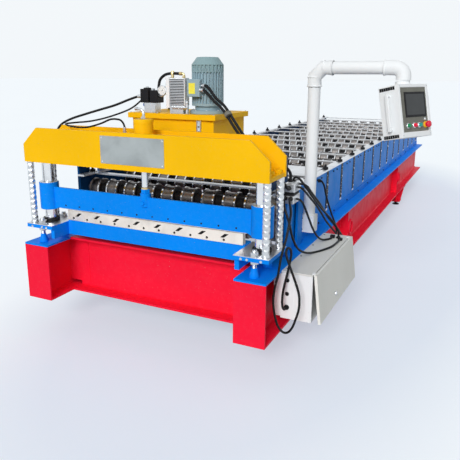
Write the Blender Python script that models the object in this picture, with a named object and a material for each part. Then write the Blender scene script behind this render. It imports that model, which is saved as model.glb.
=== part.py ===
# Roll forming machine for roof sheet, with a hydraulic shear at its front end.
# Metres, +Z up. The shear faces -Y, the sheet comes in at +Y, and the floor is Z = 0.

import math

import bmesh
import bpy
from mathutils import Matrix, Vector

# Clearance between pieces that rest on or in one another
GAP = 0.0003

# Driving sizes of the whole machine
LEG_HEIGHT = 0.27
BASE_LENGTH = 7.15
MACHINE_HALF_WIDTH = 0.893
BEAM_HEIGHT = 0.40
BEAM_FLANGE_WIDTH = 0.20
BEAM_FLANGE_THICK = 0.014
BEAM_WEB_THICK = 0.010
END_PLATE_THICK = 0.010

# Lifting rings on the outer side of the base beams, each on a stiffener plate
LIFT_FRONT_Y = 2.05
LIFT_BACK_Y = 4.80
LIFT_PLATE_THICK = 0.012
LIFT_PLATE_INSET = 0.005
LIFT_RING_RADIUS = 0.062
LIFT_RING_WIRE = 0.010
LIFT_RING_ABOVE = 0.205

# Cross beams between the base beams
FRONT_CROSS_Y = 0.231
CROSS_BEAM_FIRST_Y = 2.40
CROSS_BEAM_PITCH = 2.30
CROSS_BEAM_COUNT = 2
LAST_CROSS_INSET = 0.020
FISH_PLATE_LAP = 0.080
FISH_PLATE_THICK = 0.016
FISH_PLATE_EDGE = 0.040

# Legs
LEG_FRONT_Y = 1.35
LEG_BACK_Y = 5.35
LEG_PLATE_THICK = 0.016
LEG_TOP_LENGTH = 0.24
LEG_LOW_LENGTH = 0.12
LEG_BASE_LENGTH = 0.14
LEG_BASE_WIDTH = 0.12
LEG_FOOT_RADIUS = 0.045
LEG_SCREW_RADIUS = 0.016
LEG_SCREW_TOP = 0.030
LEG_FOOT_THICK = 0.018
LEG_FOOT_TO_BASE = 0.030

# Side walls, their slots for the shaft bearings, and the roll stations
WALL_INSET = 0.093
WALL_THICK = 0.025
WALL_HEIGHT = 0.392
WALL_FRONT_Y = 0.470
WALL_BACK_INSET = 0.030
FOOT_RAIL_HEIGHT = 0.055
FOOT_RAIL_PROUD = 0.006
SLOT_WIDTH = 0.056
SLOT_DEPTH = 0.014
SLOT_FOOT = 0.075
STATION_COUNT = 15
FIRST_STATION_Y = 0.620
STATION_PITCH = 0.4525
STRIP_THICK = 0.014
STRIP_WIDTH = 0.060
TIE_BAR_WIDTH = 0.050
TIE_BAR_THICK = 0.010
TIE_BAR_LAP = 0.010
WIDE_PLATE_FRONT = 0.080
WIDE_PLATE_BACK = 0.050
WIDE_PLATE_RAISE = 0.003

# Rollers
ROLLER_COUNT = 10
SHAFT_RADIUS = 0.035
ROLLER_FACE = 0.100
ROLLER_SIDES = 7
UPPER_SHAFT_ABOVE_BASE = 0.285
PASS_ABOVE_BASE = 0.205
ROLL_CLEARANCE = 0.006
BANK_STATIONS = 5
BEARING_RAIL_THICK = 0.020
BEARING_RAIL_HEIGHT = 0.100
BEARING_RAIL_OVERRUN = 0.100

# Shear: shelves, columns and threaded rods
COLUMN_INSET = 0.096
COLUMN_Y = 0.170
COLUMN_RADIUS = 0.042
COLLAR_RADIUS = 0.058
COLLAR_HEIGHT = 0.022
ROD_INSET = 0.035
ROD_FRONT_Y = 0.075
ROD_BACK_Y = 0.285
ROD_RADIUS = 0.021
NUT_RADIUS = 0.034
NUT_HEIGHT = 0.028
SHELF_TOP = 0.130
SHELF_THICK = 0.028
SHELF_FRONT_Y = 0.035
SHELF_BACK_Y = 0.325
SHELF_WEB_INSET = 0.220
SHELF_WEB_THICK = 0.030
SHELF_WEB_FRONT_Y = 0.055
SHELF_WEB_ABOVE = 0.035
JACK_INSET = 0.103
JACK_RADIUS = 0.015
JACK_ABOVE = 0.034
JACK_NUT_RADIUS = 0.026
JACK_NUT_HEIGHT = 0.020

# Shear: top beam, ram, blades and press cylinder
TOP_BEAM_INSET = 0.013
TOP_BEAM_CHAMFER = 0.118
TOP_BEAM_BOTTOM = 0.555
TOP_BEAM_HEIGHT = 0.228
TOP_BEAM_CORNER_Z = 0.118
TOP_BEAM_FRONT_Y = 0.048
TOP_BEAM_BACK_Y = 0.320
TOP_BEAM_PLATE = 0.020
TOP_BEAM_FLOOR = 0.025
TOP_BEAM_FLOOR_INSET = 0.004
LOWER_BEAM_FRONT_Y = 0.200
LOWER_BEAM_BACK_Y = 0.300
LOWER_BEAM_BOTTOM = 0.035
LOWER_BEAM_TOP = 0.140
BLADE_INSET = 0.008
LOWER_BLADE_TOP = 0.212
LOWER_BLADE_PROUD = 0.008
LOWER_BLADE_SEAT = 0.030
BLADE_SLOT_COUNT = 8
BLADE_SLOT_WIDTH = 0.075
BLADE_SLOT_SLANT = 0.030
BLADE_SLOT_EDGE = 0.018
RAM_STROKE = 0.080
RAM_FRONT_Y = 0.150
RAM_THICK = 0.020
RAM_BOTTOM_ABOVE = 0.231
RAM_TOP_ABOVE = 0.374
RAM_END_INSET = 0.060
RAM_CORNER_WIDTH = 0.020
RAM_CORNER_DROP = 0.011
SLEEVE_BOTTOM_ABOVE = 0.218
SLEEVE_TOP_ABOVE = 0.408
SLEEVE_RADIUS = 0.066
UPPER_BLADE_BOTTOM = 0.224
UPPER_BLADE_TOP = 0.300
UPPER_BLADE_THICK = 0.0165
UPPER_BLADE_SEAT = 0.005
UPPER_BLADE_INSET = 0.010
SOCKET_RADIUS = 0.0335
SOCKET_BOTTOM_ABOVE = 0.311
SOCKET_TOP_ABOVE = 0.432
ROD_NUT_RADIUS = 0.028
ROD_NUT_HEIGHT = 0.030
PISTON_ROD_RADIUS = 0.022
PISTON_ROD_CLEARANCE = 0.006
PISTON_ROD_IN_CYLINDER = 0.080
CYLINDER_RADIUS = 0.060
CYLINDER_CAP_RADIUS = 0.067
CYLINDER_CAP_HEIGHT = 0.055
CYLINDER_FOOT_RADIUS = 0.085
CYLINDER_FOOT_HEIGHT = 0.025
CYLINDER_TOP = 0.860
CYLINDER_PORT_ABOVE = 0.735
CYLINDER_PORT_RADIUS = 0.013
CYLINDER_PORT_REACH = 0.140
CYLINDER_PORT_BEND = 0.020
CYLINDER_PORT_RISE = 0.040

# Hydraulic unit behind the shear
STAND_PLATE_THICK = 0.020
STAND_FRONT_Y = 0.500
STAND_FRONT_LENGTH = 0.120
STAND_BACK_Y = 0.730
STAND_BACK_LENGTH = 0.100
STAND_BAR_HEIGHT = 0.060
STAND_BAR_WIDTH = 0.050
STAND_BAR_FRONT_Y = 0.530
STAND_BAR_BACK_Y = 0.770
STAND_LINK_WIDTH = 0.060
STAND_LINK_DROP = 0.010
TANK_FRONT_Y = 0.503
TANK_DEPTH = 0.484
TANK_HALF_WIDTH = 0.312
TANK_BOTTOM = 0.615
TANK_HEIGHT = 0.258
LID_THICK = 0.012
LID_LIP = 0.023
LEVEL_GAUGE_X = 0.209
LEVEL_GAUGE_WIDTH = 0.034
LEVEL_GAUGE_HEIGHT = 0.096
LEVEL_GAUGE_PROUD = 0.012
LEVEL_GAUGE_DROP = 0.022
FILLER_X = -0.240
FILLER_Y = 0.900
FILLER_RADIUS = 0.032
FILLER_HEIGHT = 0.055
MOTOR_X = 0.200
MOTOR_Y = 0.640
MOTOR_RADIUS = 0.105
MOTOR_HEIGHT = 0.362
MOTOR_FLANGE_RADIUS = 0.118
MOTOR_FLANGE_THICK = 0.022
MOTOR_FIN_COUNT = 14
MOTOR_FIN_DEPTH = 0.011
MOTOR_FIN_BOTTOM = 0.055
MOTOR_COWL_HEIGHT = 0.080
MOTOR_COWL_EDGE = 0.020
TERMINAL_WIDTH = 0.092
TERMINAL_BOTTOM = 0.140
TERMINAL_HEIGHT = 0.110
TERMINAL_PROUD = 0.035
COOLER_X = 0.031
COOLER_WIDTH = 0.122
COOLER_FRONT_Y = 0.500
COOLER_DEPTH = 0.060
COOLER_BOTTOM = 0.054
COOLER_TOP = 0.230
COOLER_FIN_COUNT = 7
COOLER_GROOVE_DEPTH = 0.012
COOLER_BASE_WIDTH = 0.100
COOLER_PIPE_RADIUS = 0.009
VALVE_X = -0.170
VALVE_WIDTH = 0.140
VALVE_FRONT_Y = 0.495
VALVE_DEPTH = 0.085
VALVE_BOTTOM = 0.064
VALVE_HEIGHT = 0.101
MANIFOLD_WIDTH = 0.088
KNOB_RADIUS = 0.014
KNOB_LENGTH = 0.026
DIAL_X = -0.062
DIAL_ABOVE = 0.150
DIAL_RADIUS = 0.030
DIAL_THICK = 0.024
CUT_VALVE_Y = 0.400
CUT_VALVE_LENGTH = 0.130
CUT_VALVE_WIDTH = 0.078
CUT_VALVE_BOTTOM = 0.370
CUT_VALVE_HEIGHT = 0.070
COIL_HEIGHT = 0.060
COIL_RADIUS = 0.024

# Post, arm and control box
POST_CLEARANCE = 0.004
POST_Y = 0.900
POST_RADIUS = 0.040
ARM_HEIGHT = 1.170
ARM_REACH = 0.555
DROP_LENGTH = 0.075
SLEEVE_PIPE_RADIUS = 0.046
SLEEVE_PIPE_LENGTH = 0.065
ELBOW_CUT = 0.055
POST_FLANGE_THICK = 0.012
POST_FLANGE_HALF = 0.060
POST_BRACKET_BOTTOM = 0.073
POST_BRACKET_TOP = 0.192
POST_BRACKET_HALF = 0.048
BOX_TURN = math.radians(26.5)
BOX_TILT = math.radians(12)
BOX_WIDTH = 0.298
BOX_DEPTH = 0.140
BOX_HEIGHT = 0.317
BOX_NECK = 0.033
PANEL_RECESS = 0.006
PANEL_SIDE = 0.020
PANEL_TOP = 0.019
PANEL_BOTTOM = 0.032
SCREEN_WIDTH = 0.205
SCREEN_HEIGHT = 0.150
SCREEN_DROP = 0.048
SCREEN_PROUD = 0.005
BUTTON_DROP = 0.247
BUTTON_PITCH = 0.058
BUTTON_RADIUS = 0.015
BUTTON_PROUD = 0.026
STOP_RADIUS = 0.021
STOP_PROUD = 0.038
GRIP_THICK = 0.014
GRIP_STAND_OFF = 0.030
GRIP_LENGTH = 0.220
GRIP_FORWARD = 0.005

# Electric cabinet on the right base beam, its door hung from its top edge
CABINET_WIDTH = 0.192
CABINET_FRONT_Y = 0.250
CABINET_LENGTH = 0.900
CABINET_BOTTOM = 0.100
CABINET_TOP = 0.400
CABINET_SHEET = 0.012
CABINET_HOLE_X = 0.039
CABINET_HOLE_RADIUS = 0.013
CABINET_HOLE_TOP = 0.345
CABINET_HOLE_PITCH = 0.0855
GLAND_RADIUS = 0.016
GLAND_LENGTH = 0.014
ROOF_GLAND_INSET = 0.060
ROOF_GLAND_TO_BACK = 0.090
ROOF_CLIP_INSET = 0.035
ROOF_CLIP_TO_BACK = 0.150
DOOR_CLEARANCE = 0.005
DOOR_THICK = 0.018
DOOR_SHEET = 0.006
DOOR_RIM = 0.014
DOOR_OVERHANG = 0.004
HINGE_LUG = 0.014
HINGE_OUT = 0.012
HINGE_DROP = 0.008
LOCK_RADIUS = 0.013
LOCK_PROUD = 0.008
LOCK_Y = 0.500
LOCK_ABOVE = 0.030
DOOR_REST_ANGLE = math.radians(7)

# Hoses and cables
HOSE_DIAMETER = 0.016
SMALL_HOSE_DIAMETER = 0.012
CABLE_DIAMETER = 0.014


def material(name, colour, roughness, metallic=0.0):
    made = bpy.data.materials.new(name)
    made.use_nodes = True
    shader = made.node_tree.nodes["Principled BSDF"]
    shader.inputs["Base Color"].default_value = (*colour, 1.0)
    shader.inputs["Roughness"].default_value = roughness
    shader.inputs["Metallic"].default_value = metallic
    return made


def add_object(name, mesh, finish):
    made = bpy.data.objects.new(name, mesh)
    bpy.context.collection.objects.link(made)
    made.data.materials.clear()
    made.data.materials.append(finish)
    return made


def mesh_from(verts, faces):
    mesh = bpy.data.meshes.new("shape")
    mesh.from_pydata([tuple(v) for v in verts], [], faces)
    shape = bmesh.new()
    shape.from_mesh(mesh)
    bmesh.ops.recalc_face_normals(shape, faces=shape.faces)
    shape.to_mesh(mesh)
    shape.free()
    return mesh


def place(axis, u, v, w):
    """Puts an outline's point (u, v) and its distance w along an axis into X, Y, Z."""
    if axis == "X":
        return (w, u, v)
    if axis == "Y":
        return (u, w, v)
    return (u, v, w)


def prism(outline, axis, low, high):
    """An outline drawn across an axis and pulled from low to high along it."""
    count = len(outline)
    verts = [place(axis, u, v, low) for u, v in outline]
    verts += [place(axis, u, v, high) for u, v in outline]
    faces = [list(range(count)), list(range(2 * count - 1, count - 1, -1))]
    for i in range(count):
        j = (i + 1) % count
        faces.append([i, i + count, j + count, j])
    return mesh_from(verts, faces)


def box(low, high):
    outline = [(low[0], low[1]), (high[0], low[1]), (high[0], high[1]), (low[0], high[1])]
    return prism(outline, "Z", low[2], high[2])


def circle(centre_u, centre_v, radius, sides, turn=0.5):
    return [
        (
            centre_u + radius * math.cos(2 * math.pi * (i + turn) / sides),
            centre_v + radius * math.sin(2 * math.pi * (i + turn) / sides),
        )
        for i in range(sides)
    ]


def cylinder(axis, centre_u, centre_v, radius, low, high, sides=16):
    return prism(circle(centre_u, centre_v, radius, sides), axis, low, high)


def turned(axis, centre_u, centre_v, profile, sides):
    """A profile of (distance along the axis, radius) turned about the axis, closed at both ends."""
    verts = []
    for along, radius in profile:
        verts += [place(axis, u, v, along) for u, v in circle(centre_u, centre_v, radius, sides)]
    faces = [list(range(sides)), list(range(len(verts) - 1, len(verts) - sides - 1, -1))]
    for ring in range(len(profile) - 1):
        for i in range(sides):
            j = (i + 1) % sides
            a = ring * sides
            b = a + sides
            faces.append([a + i, b + i, b + j, a + j])
    return mesh_from(verts, faces)


def joined(*meshes):
    """Several closed shapes as one mesh, for use in one cut or union."""
    verts = []
    faces = []
    for mesh in meshes:
        start = len(verts)
        verts += [vertex.co.copy() for vertex in mesh.vertices]
        faces += [[start + i for i in face.vertices] for face in mesh.polygons]
    return mesh_from(verts, faces)


def torus(axis, centre_u, centre_v, along, radius, wire, steps=10, sides=5):
    """A ring round an axis."""
    verts = []
    for i in range(steps):
        angle = 2 * math.pi * i / steps
        for j in range(sides):
            turn = 2 * math.pi * j / sides
            reach = radius + wire * math.cos(turn)
            u = centre_u + reach * math.cos(angle)
            v = centre_v + reach * math.sin(angle)
            verts.append(place(axis, u, v, along + wire * math.sin(turn)))
    faces = []
    for i in range(steps):
        for j in range(sides):
            a = i * sides
            b = (i + 1) % steps * sides
            k = (j + 1) % sides
            faces.append([a + j, a + k, b + k, b + j])
    return mesh_from(verts, faces)


def pipe(points, y, radius, sides):
    """A mitred pipe through (x, z) points in the plane of one y."""
    knots = [Vector(p) for p in points]
    verts = []
    for i, knot in enumerate(knots):
        before = (knot - knots[i - 1]).normalized() if i else None
        after = (knots[i + 1] - knot).normalized() if i < len(knots) - 1 else None
        before = before or after
        after = after or before
        middle = (before + after).normalized()
        across = Vector((middle.y, -middle.x)) / middle.dot(after)
        for k in range(sides):
            turn = 2 * math.pi * (k + 0.5) / sides
            spot = knot + across * radius * math.cos(turn)
            verts.append((spot.x, y + radius * math.sin(turn), spot.y))
    faces = [list(range(sides)), list(range(len(verts) - 1, len(verts) - sides - 1, -1))]
    for ring in range(len(knots) - 1):
        for k in range(sides):
            j = (k + 1) % sides
            a = ring * sides
            b = a + sides
            faces.append([a + k, b + k, b + j, a + j])
    return mesh_from(verts, faces)


def sided(side, near, far):
    """Two distances from the middle as low and high X on one side of the machine."""
    return sorted((side * near, side * far))


def combine(base, others, operation):
    """Joins or cuts a solid with others, one at a time."""
    target = bpy.data.objects.new("target", base)
    bpy.context.collection.objects.link(target)
    for other in others:
        tool = bpy.data.objects.new("tool", other)
        bpy.context.collection.objects.link(tool)
        step = target.modifiers.new("step", "BOOLEAN")
        step.operation = operation
        step.solver = "EXACT"
        step.object = tool
        bpy.context.view_layer.update()
        graph = bpy.context.evaluated_depsgraph_get()
        result = bpy.data.meshes.new_from_object(target.evaluated_get(graph))
        target.modifiers.clear()
        target.data = result
        bpy.data.objects.remove(tool)
    mesh = target.data
    bpy.data.objects.remove(target)
    return mesh


def fuse(base, *others):
    return combine(base, others, "UNION")


def cut(base, *others):
    return combine(base, others, "DIFFERENCE")


def move_origin(item, point):
    """Puts an object's origin on its joint's axis and leaves its shape where it is."""
    for vertex in item.data.vertices:
        vertex.co -= Vector(point)
    item.location = point


def smooth_path(points, spacing):
    """Points along a smooth curve through a cord's route."""
    before = 2 * Vector(points[0]) - Vector(points[1])
    after = 2 * Vector(points[-1]) - Vector(points[-2])
    knots = [before] + [Vector(p) for p in points] + [after]
    path = [knots[1]]
    for i in range(1, len(knots) - 2):
        a, b, c, d = knots[i - 1:i + 3]
        steps = max(1, round((c - b).length / spacing))
        for step in range(1, steps + 1):
            t = step / steps
            path.append(
                0.5
                * (
                    2 * b
                    + (c - a) * t
                    + (2 * a - 5 * b + 4 * c - d) * t ** 2
                    + (3 * b - 3 * c + d - a) * t ** 3
                )
            )
    return path


def cord(name, points, diameter, finish):
    curve = bpy.data.curves.new(name, "CURVE")
    curve.dimensions = "3D"
    curve.bevel_depth = diameter / 2
    curve.bevel_resolution = 2
    curve.use_fill_caps = True
    path = smooth_path(points, 3 * diameter)
    spline = curve.splines.new("POLY")
    spline.points.add(len(path) - 1)
    for target, source in zip(spline.points, path):
        target.co = (*source, 1.0)
    curve.materials.append(finish)
    made = bpy.data.objects.new(name, curve)
    bpy.context.collection.objects.link(made)
    return made


for item in list(bpy.data.objects):
    bpy.data.objects.remove(item)

RED = material("red_paint", (0.75, 0.01, 0.03), 0.35)
BLUE = material("blue_paint", (0.0, 0.22, 0.75), 0.35)
YELLOW = material("yellow_paint", (0.95, 0.52, 0.01), 0.35)
STEEL = material("bright_steel", (0.75, 0.75, 0.76), 0.28, 1.0)
DARK_STEEL = material("dark_steel", (0.08, 0.08, 0.09), 0.45, 1.0)
WHITE = material("white_paint", (0.85, 0.86, 0.86), 0.40)
BEIGE = material("beige_paint", (0.52, 0.52, 0.46), 0.45)
MOTOR_PAINT = material("motor_paint", (0.07, 0.13, 0.14), 0.50)
BLACK_RUBBER = material("black_rubber", (0.02, 0.02, 0.02), 0.60)

BASE_BOTTOM = LEG_HEIGHT
BASE_TOP = BASE_BOTTOM + BEAM_HEIGHT
BEAM_CENTRE_X = MACHINE_HALF_WIDTH - BEAM_FLANGE_WIDTH / 2
WALL_OUTER_X = MACHINE_HALF_WIDTH - WALL_INSET
WALL_INNER_X = WALL_OUTER_X - WALL_THICK
WALL_BACK_Y = BASE_LENGTH - WALL_BACK_INSET
WALL_TOP = BASE_TOP + WALL_HEIGHT
STATIONS_Y = [FIRST_STATION_Y + i * STATION_PITCH for i in range(STATION_COUNT)]
SIDES = (("left", -1), ("right", 1))


def h_outline(centre, bottom, width, height, flange, web):
    """An H-section standing on its lower flange."""
    half = width / 2
    thin = web / 2
    top = bottom + height
    right = [
        (half, bottom),
        (half, bottom + flange),
        (thin, bottom + flange),
        (thin, top - flange),
        (half, top - flange),
        (half, top),
    ]
    return [(centre + u, v) for u, v in right] + [(centre - u, v) for u, v in reversed(right)]


# Base beams, each with a plate over its front end and two lifting rings
def base_beam(name, side):
    centre = side * BEAM_CENTRE_X
    half = BEAM_FLANGE_WIDTH / 2
    outline = h_outline(
        centre, BASE_BOTTOM, BEAM_FLANGE_WIDTH, BEAM_HEIGHT, BEAM_FLANGE_THICK, BEAM_WEB_THICK
    )
    beam = prism(outline, "Y", END_PLATE_THICK / 2, BASE_LENGTH)
    plate = box((centre - half, 0, BASE_BOTTOM), (centre + half, END_PLATE_THICK, BASE_TOP))
    low, high = sided(side, BEAM_CENTRE_X, MACHINE_HALF_WIDTH - LIFT_PLATE_INSET)
    middle = side * (BEAM_CENTRE_X + half / 2)
    ring_z = BASE_BOTTOM + LIFT_RING_ABOVE
    stiffeners = []
    rings = []
    for y in (LIFT_FRONT_Y, LIFT_BACK_Y):
        stiffeners.append(
            box(
                (low, y, BASE_BOTTOM + BEAM_FLANGE_THICK / 2),
                (high, y + LIFT_PLATE_THICK, BASE_TOP - BEAM_FLANGE_THICK / 2),
            )
        )
        rings.append(
            torus("X", y + LIFT_RING_RADIUS, ring_z, middle, LIFT_RING_RADIUS, LIFT_RING_WIRE)
        )
    add_object(name, fuse(beam, joined(plate, *stiffeners), joined(*rings)), RED)


for side_name, side in SIDES:
    base_beam(side_name + "_base_beam", side)


# Cross beams, with fish plates that reach between the flanges to the webs of the base beams
def cross_beam(name, centre_y):
    outline = h_outline(
        centre_y, BASE_BOTTOM, BEAM_FLANGE_WIDTH, BEAM_HEIGHT, BEAM_FLANGE_THICK, BEAM_WEB_THICK
    )
    reach = BEAM_CENTRE_X - BEAM_FLANGE_WIDTH / 2 - GAP
    web_face = BEAM_CENTRE_X - BEAM_WEB_THICK / 2 - GAP
    plates = []
    for side in (-1, 1):
        low, high = sided(side, reach - FISH_PLATE_LAP, web_face)
        plates.append(
            box(
                (low, centre_y - FISH_PLATE_THICK / 2, BASE_BOTTOM + FISH_PLATE_EDGE),
                (high, centre_y + FISH_PLATE_THICK / 2, BASE_TOP - FISH_PLATE_EDGE),
            )
        )
    add_object(name, fuse(prism(outline, "X", -reach, reach), joined(*plates)), RED)


cross_beam("front_cross_beam", FRONT_CROSS_Y + BEAM_FLANGE_WIDTH / 2)
cross_centres = [CROSS_BEAM_FIRST_Y + i * CROSS_BEAM_PITCH for i in range(CROSS_BEAM_COUNT)]
cross_centres.append(BASE_LENGTH - LAST_CROSS_INSET - BEAM_FLANGE_WIDTH / 2)
for number, centre_y in enumerate(cross_centres, 1):
    cross_beam(f"cross_beam_{number}", centre_y)


# Legs: a tapered bracket under the flange with a screw foot
def leg(name, side, centre_y):
    centre = side * BEAM_CENTRE_X
    top = BASE_BOTTOM - GAP
    half = BEAM_FLANGE_WIDTH / 2
    low = LEG_FOOT_THICK + LEG_FOOT_TO_BASE
    base_top = low + LEG_PLATE_THICK
    plate = box(
        (centre - half, centre_y - LEG_TOP_LENGTH / 2, top - LEG_PLATE_THICK),
        (centre + half, centre_y + LEG_TOP_LENGTH / 2, top),
    )
    web = prism(
        [
            (centre_y - LEG_TOP_LENGTH / 2, top - LEG_PLATE_THICK / 2),
            (centre_y + LEG_TOP_LENGTH / 2, top - LEG_PLATE_THICK / 2),
            (centre_y + LEG_LOW_LENGTH / 2, low + LEG_PLATE_THICK / 2),
            (centre_y - LEG_LOW_LENGTH / 2, low + LEG_PLATE_THICK / 2),
        ],
        "X",
        centre - LEG_PLATE_THICK / 2,
        centre + LEG_PLATE_THICK / 2,
    )
    cross_web = prism(
        [
            (centre - half, top - LEG_PLATE_THICK / 2),
            (centre + half, top - LEG_PLATE_THICK / 2),
            (centre + LEG_BASE_WIDTH / 2, low + LEG_PLATE_THICK / 2),
            (centre - LEG_BASE_WIDTH / 2, low + LEG_PLATE_THICK / 2),
        ],
        "Y",
        centre_y - LEG_PLATE_THICK / 2,
        centre_y + LEG_PLATE_THICK / 2,
    )
    base = box(
        (centre - LEG_BASE_WIDTH / 2, centre_y - LEG_BASE_LENGTH / 2, low),
        (centre + LEG_BASE_WIDTH / 2, centre_y + LEG_BASE_LENGTH / 2, base_top),
    )
    screw = cylinder("Z", centre, centre_y, LEG_SCREW_RADIUS, LEG_FOOT_THICK / 2, base_top + LEG_SCREW_TOP, 8)
    foot = cylinder("Z", centre, centre_y, LEG_FOOT_RADIUS, 0, LEG_FOOT_THICK, 12)
    add_object(name, fuse(plate, web, cross_web, base, screw, foot), RED)


for row_name, row_y in (("front", LEG_FRONT_Y), ("back", LEG_BACK_Y)):
    for side_name, side in SIDES:
        leg(f"leg_{row_name}_{side_name}", side, row_y)


# Side walls: a foot rail, and at each station a slot in the outer face for the bearing blocks
def side_wall(name, side):
    inner = side * WALL_INNER_X
    outer = side * WALL_OUTER_X
    proud = side * (WALL_OUTER_X + FOOT_RAIL_PROUD)
    foot = BASE_TOP + GAP
    rail_top = BASE_TOP + FOOT_RAIL_HEIGHT
    outline = [(inner, foot), (proud, foot), (proud, rail_top)]
    outline += [(outer, rail_top), (outer, WALL_TOP), (inner, WALL_TOP)]
    wall = prism(outline, "Y", WALL_FRONT_Y, WALL_BACK_Y)
    low, high = sided(side, WALL_OUTER_X - SLOT_DEPTH, WALL_OUTER_X + SLOT_DEPTH)
    slots = [
        box((low, y - SLOT_WIDTH / 2, BASE_TOP + SLOT_FOOT), (high, y + SLOT_WIDTH / 2, WALL_TOP + SLOT_DEPTH))
        for y in STATIONS_Y
    ]
    add_object(name, cut(wall, joined(*slots)), BLUE)


for side_name, side in SIDES:
    side_wall(side_name + "_side_wall", side)


# Steel strips on top of the walls, a flat tie bar across at each station and one wide plate
def tie_frame():
    inner = WALL_OUTER_X - STRIP_WIDTH
    reach = inner + TIE_BAR_LAP
    low = WALL_TOP + GAP
    high = low + STRIP_THICK
    margin = (STRIP_THICK - TIE_BAR_THICK) / 2
    strips = []
    for side in (-1, 1):
        near, far = sided(side, inner, WALL_OUTER_X)
        strips.append(box((near, WALL_FRONT_Y, low), (far, WALL_BACK_Y, high)))
    half = TIE_BAR_WIDTH / 2
    bars = [box((-reach, y - half, low + margin), (reach, y + half, high - margin)) for y in STATIONS_Y]
    wide = box(
        (-reach, STATIONS_Y[1] + WIDE_PLATE_FRONT, low + margin + WIDE_PLATE_RAISE),
        (reach, STATIONS_Y[2] + WIDE_PLATE_BACK, high + WIDE_PLATE_RAISE),
    )
    add_object("tie_bar_frame", fuse(joined(*strips), joined(*bars), wide), STEEL)


tie_frame()

# Rollers, one shaft above and one below the sheet at each station
ROLLER_PITCH = 2 * WALL_OUTER_X / ROLLER_COUNT
SHAFT_END_X = WALL_INNER_X - GAP
UPPER_AXIS_Z = BASE_TOP + UPPER_SHAFT_ABOVE_BASE
PASS_Z = BASE_TOP + PASS_ABOVE_BASE
ROLLER_RADIUS = UPPER_AXIS_Z - PASS_Z - ROLL_CLEARANCE / 2
LOWER_AXIS_Z = PASS_Z - (UPPER_AXIS_Z - PASS_Z)


def roller_profile():
    """Ribs side by side on a shaft, as (distance along the shaft, radius)."""
    profile = [(-SHAFT_END_X, SHAFT_RADIUS)]
    for i in range(ROLLER_COUNT):
        centre = (i - (ROLLER_COUNT - 1) / 2) * ROLLER_PITCH
        if i:
            profile.append((centre - ROLLER_PITCH / 2, SHAFT_RADIUS))
        profile += [(centre - ROLLER_FACE / 2, ROLLER_RADIUS), (centre + ROLLER_FACE / 2, ROLLER_RADIUS)]
    return profile + [(SHAFT_END_X, SHAFT_RADIUS)]


for number, y in enumerate(STATIONS_Y, 1):
    roller = turned("X", y, UPPER_AXIS_Z, roller_profile(), ROLLER_SIDES)
    made = add_object(f"upper_roller_{number:02d}", roller, STEEL)
    move_origin(made, (0, y, UPPER_AXIS_Z))


def lower_bank(name, stations):
    """The lower rollers of some stations, held by a bearing rail at each side."""
    reach = WALL_INNER_X - BEARING_RAIL_THICK / 2
    drums = [cylinder("X", y, LOWER_AXIS_Z, ROLLER_RADIUS, -reach, reach, ROLLER_SIDES) for y in stations]
    rails = []
    for side in (-1, 1):
        low, high = sided(side, WALL_INNER_X - BEARING_RAIL_THICK, SHAFT_END_X)
        rails.append(
            box(
                (low, stations[0] - BEARING_RAIL_OVERRUN, LOWER_AXIS_Z - BEARING_RAIL_HEIGHT / 2),
                (high, stations[-1] + BEARING_RAIL_OVERRUN, LOWER_AXIS_Z + BEARING_RAIL_HEIGHT / 2),
            )
        )
    add_object(name, fuse(joined(*rails), joined(*drums)), DARK_STEEL)


for bank in range(STATION_COUNT // BANK_STATIONS):
    first = bank * BANK_STATIONS
    lower_bank(f"lower_roller_bank_{bank + 1}", STATIONS_Y[first:first + BANK_STATIONS])

# Shear: shelves held above the base beams by two jack bolts each, guide columns and threaded rods
COLUMN_X = MACHINE_HALF_WIDTH - COLUMN_INSET
ROD_X = MACHINE_HALF_WIDTH - ROD_INSET
SHELF_WEB_X = MACHINE_HALF_WIDTH - SHELF_WEB_INSET
SHELF_TOP_Z = BASE_TOP + SHELF_TOP
BEAM_FLOOR_Z = BASE_TOP + TOP_BEAM_BOTTOM


def shelf(name, side):
    low, high = sided(side, SHELF_WEB_X, MACHINE_HALF_WIDTH)
    plate = box((low, SHELF_FRONT_Y, SHELF_TOP_Z - SHELF_THICK), (high, SHELF_BACK_Y, SHELF_TOP_Z))
    low, high = sided(side, SHELF_WEB_X, SHELF_WEB_X + SHELF_WEB_THICK)
    web_low = BASE_TOP + SHELF_WEB_ABOVE
    web = box((low, SHELF_WEB_FRONT_Y, web_low), (high, SHELF_BACK_Y, SHELF_TOP_Z - SHELF_THICK / 2))
    jack_x = side * (MACHINE_HALF_WIDTH - JACK_INSET)
    jacks = []
    nuts = []
    for y in (ROD_FRONT_Y, ROD_BACK_Y):
        jacks.append(cylinder("Z", jack_x, y, JACK_RADIUS, BASE_TOP + GAP, SHELF_TOP_Z + JACK_ABOVE, 10))
        for level in (SHELF_TOP_Z - GAP, SHELF_TOP_Z - SHELF_THICK - JACK_NUT_HEIGHT + GAP):
            nuts.append(cylinder("Z", jack_x, y, JACK_NUT_RADIUS, level, level + JACK_NUT_HEIGHT, 6))
    add_object(name, fuse(plate, web, joined(*nuts), joined(*jacks)), BLUE)


def guide_column(name, side):
    foot = SHELF_TOP_Z + GAP
    collar_top = SHELF_TOP_Z + COLLAR_HEIGHT
    profile = [
        (foot, COLLAR_RADIUS),
        (collar_top - GAP, COLLAR_RADIUS),
        (collar_top, COLUMN_RADIUS),
        (BEAM_FLOOR_Z - GAP, COLUMN_RADIUS),
    ]
    add_object(name, turned("Z", side * COLUMN_X, COLUMN_Y, profile, 16), STEEL)


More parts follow.
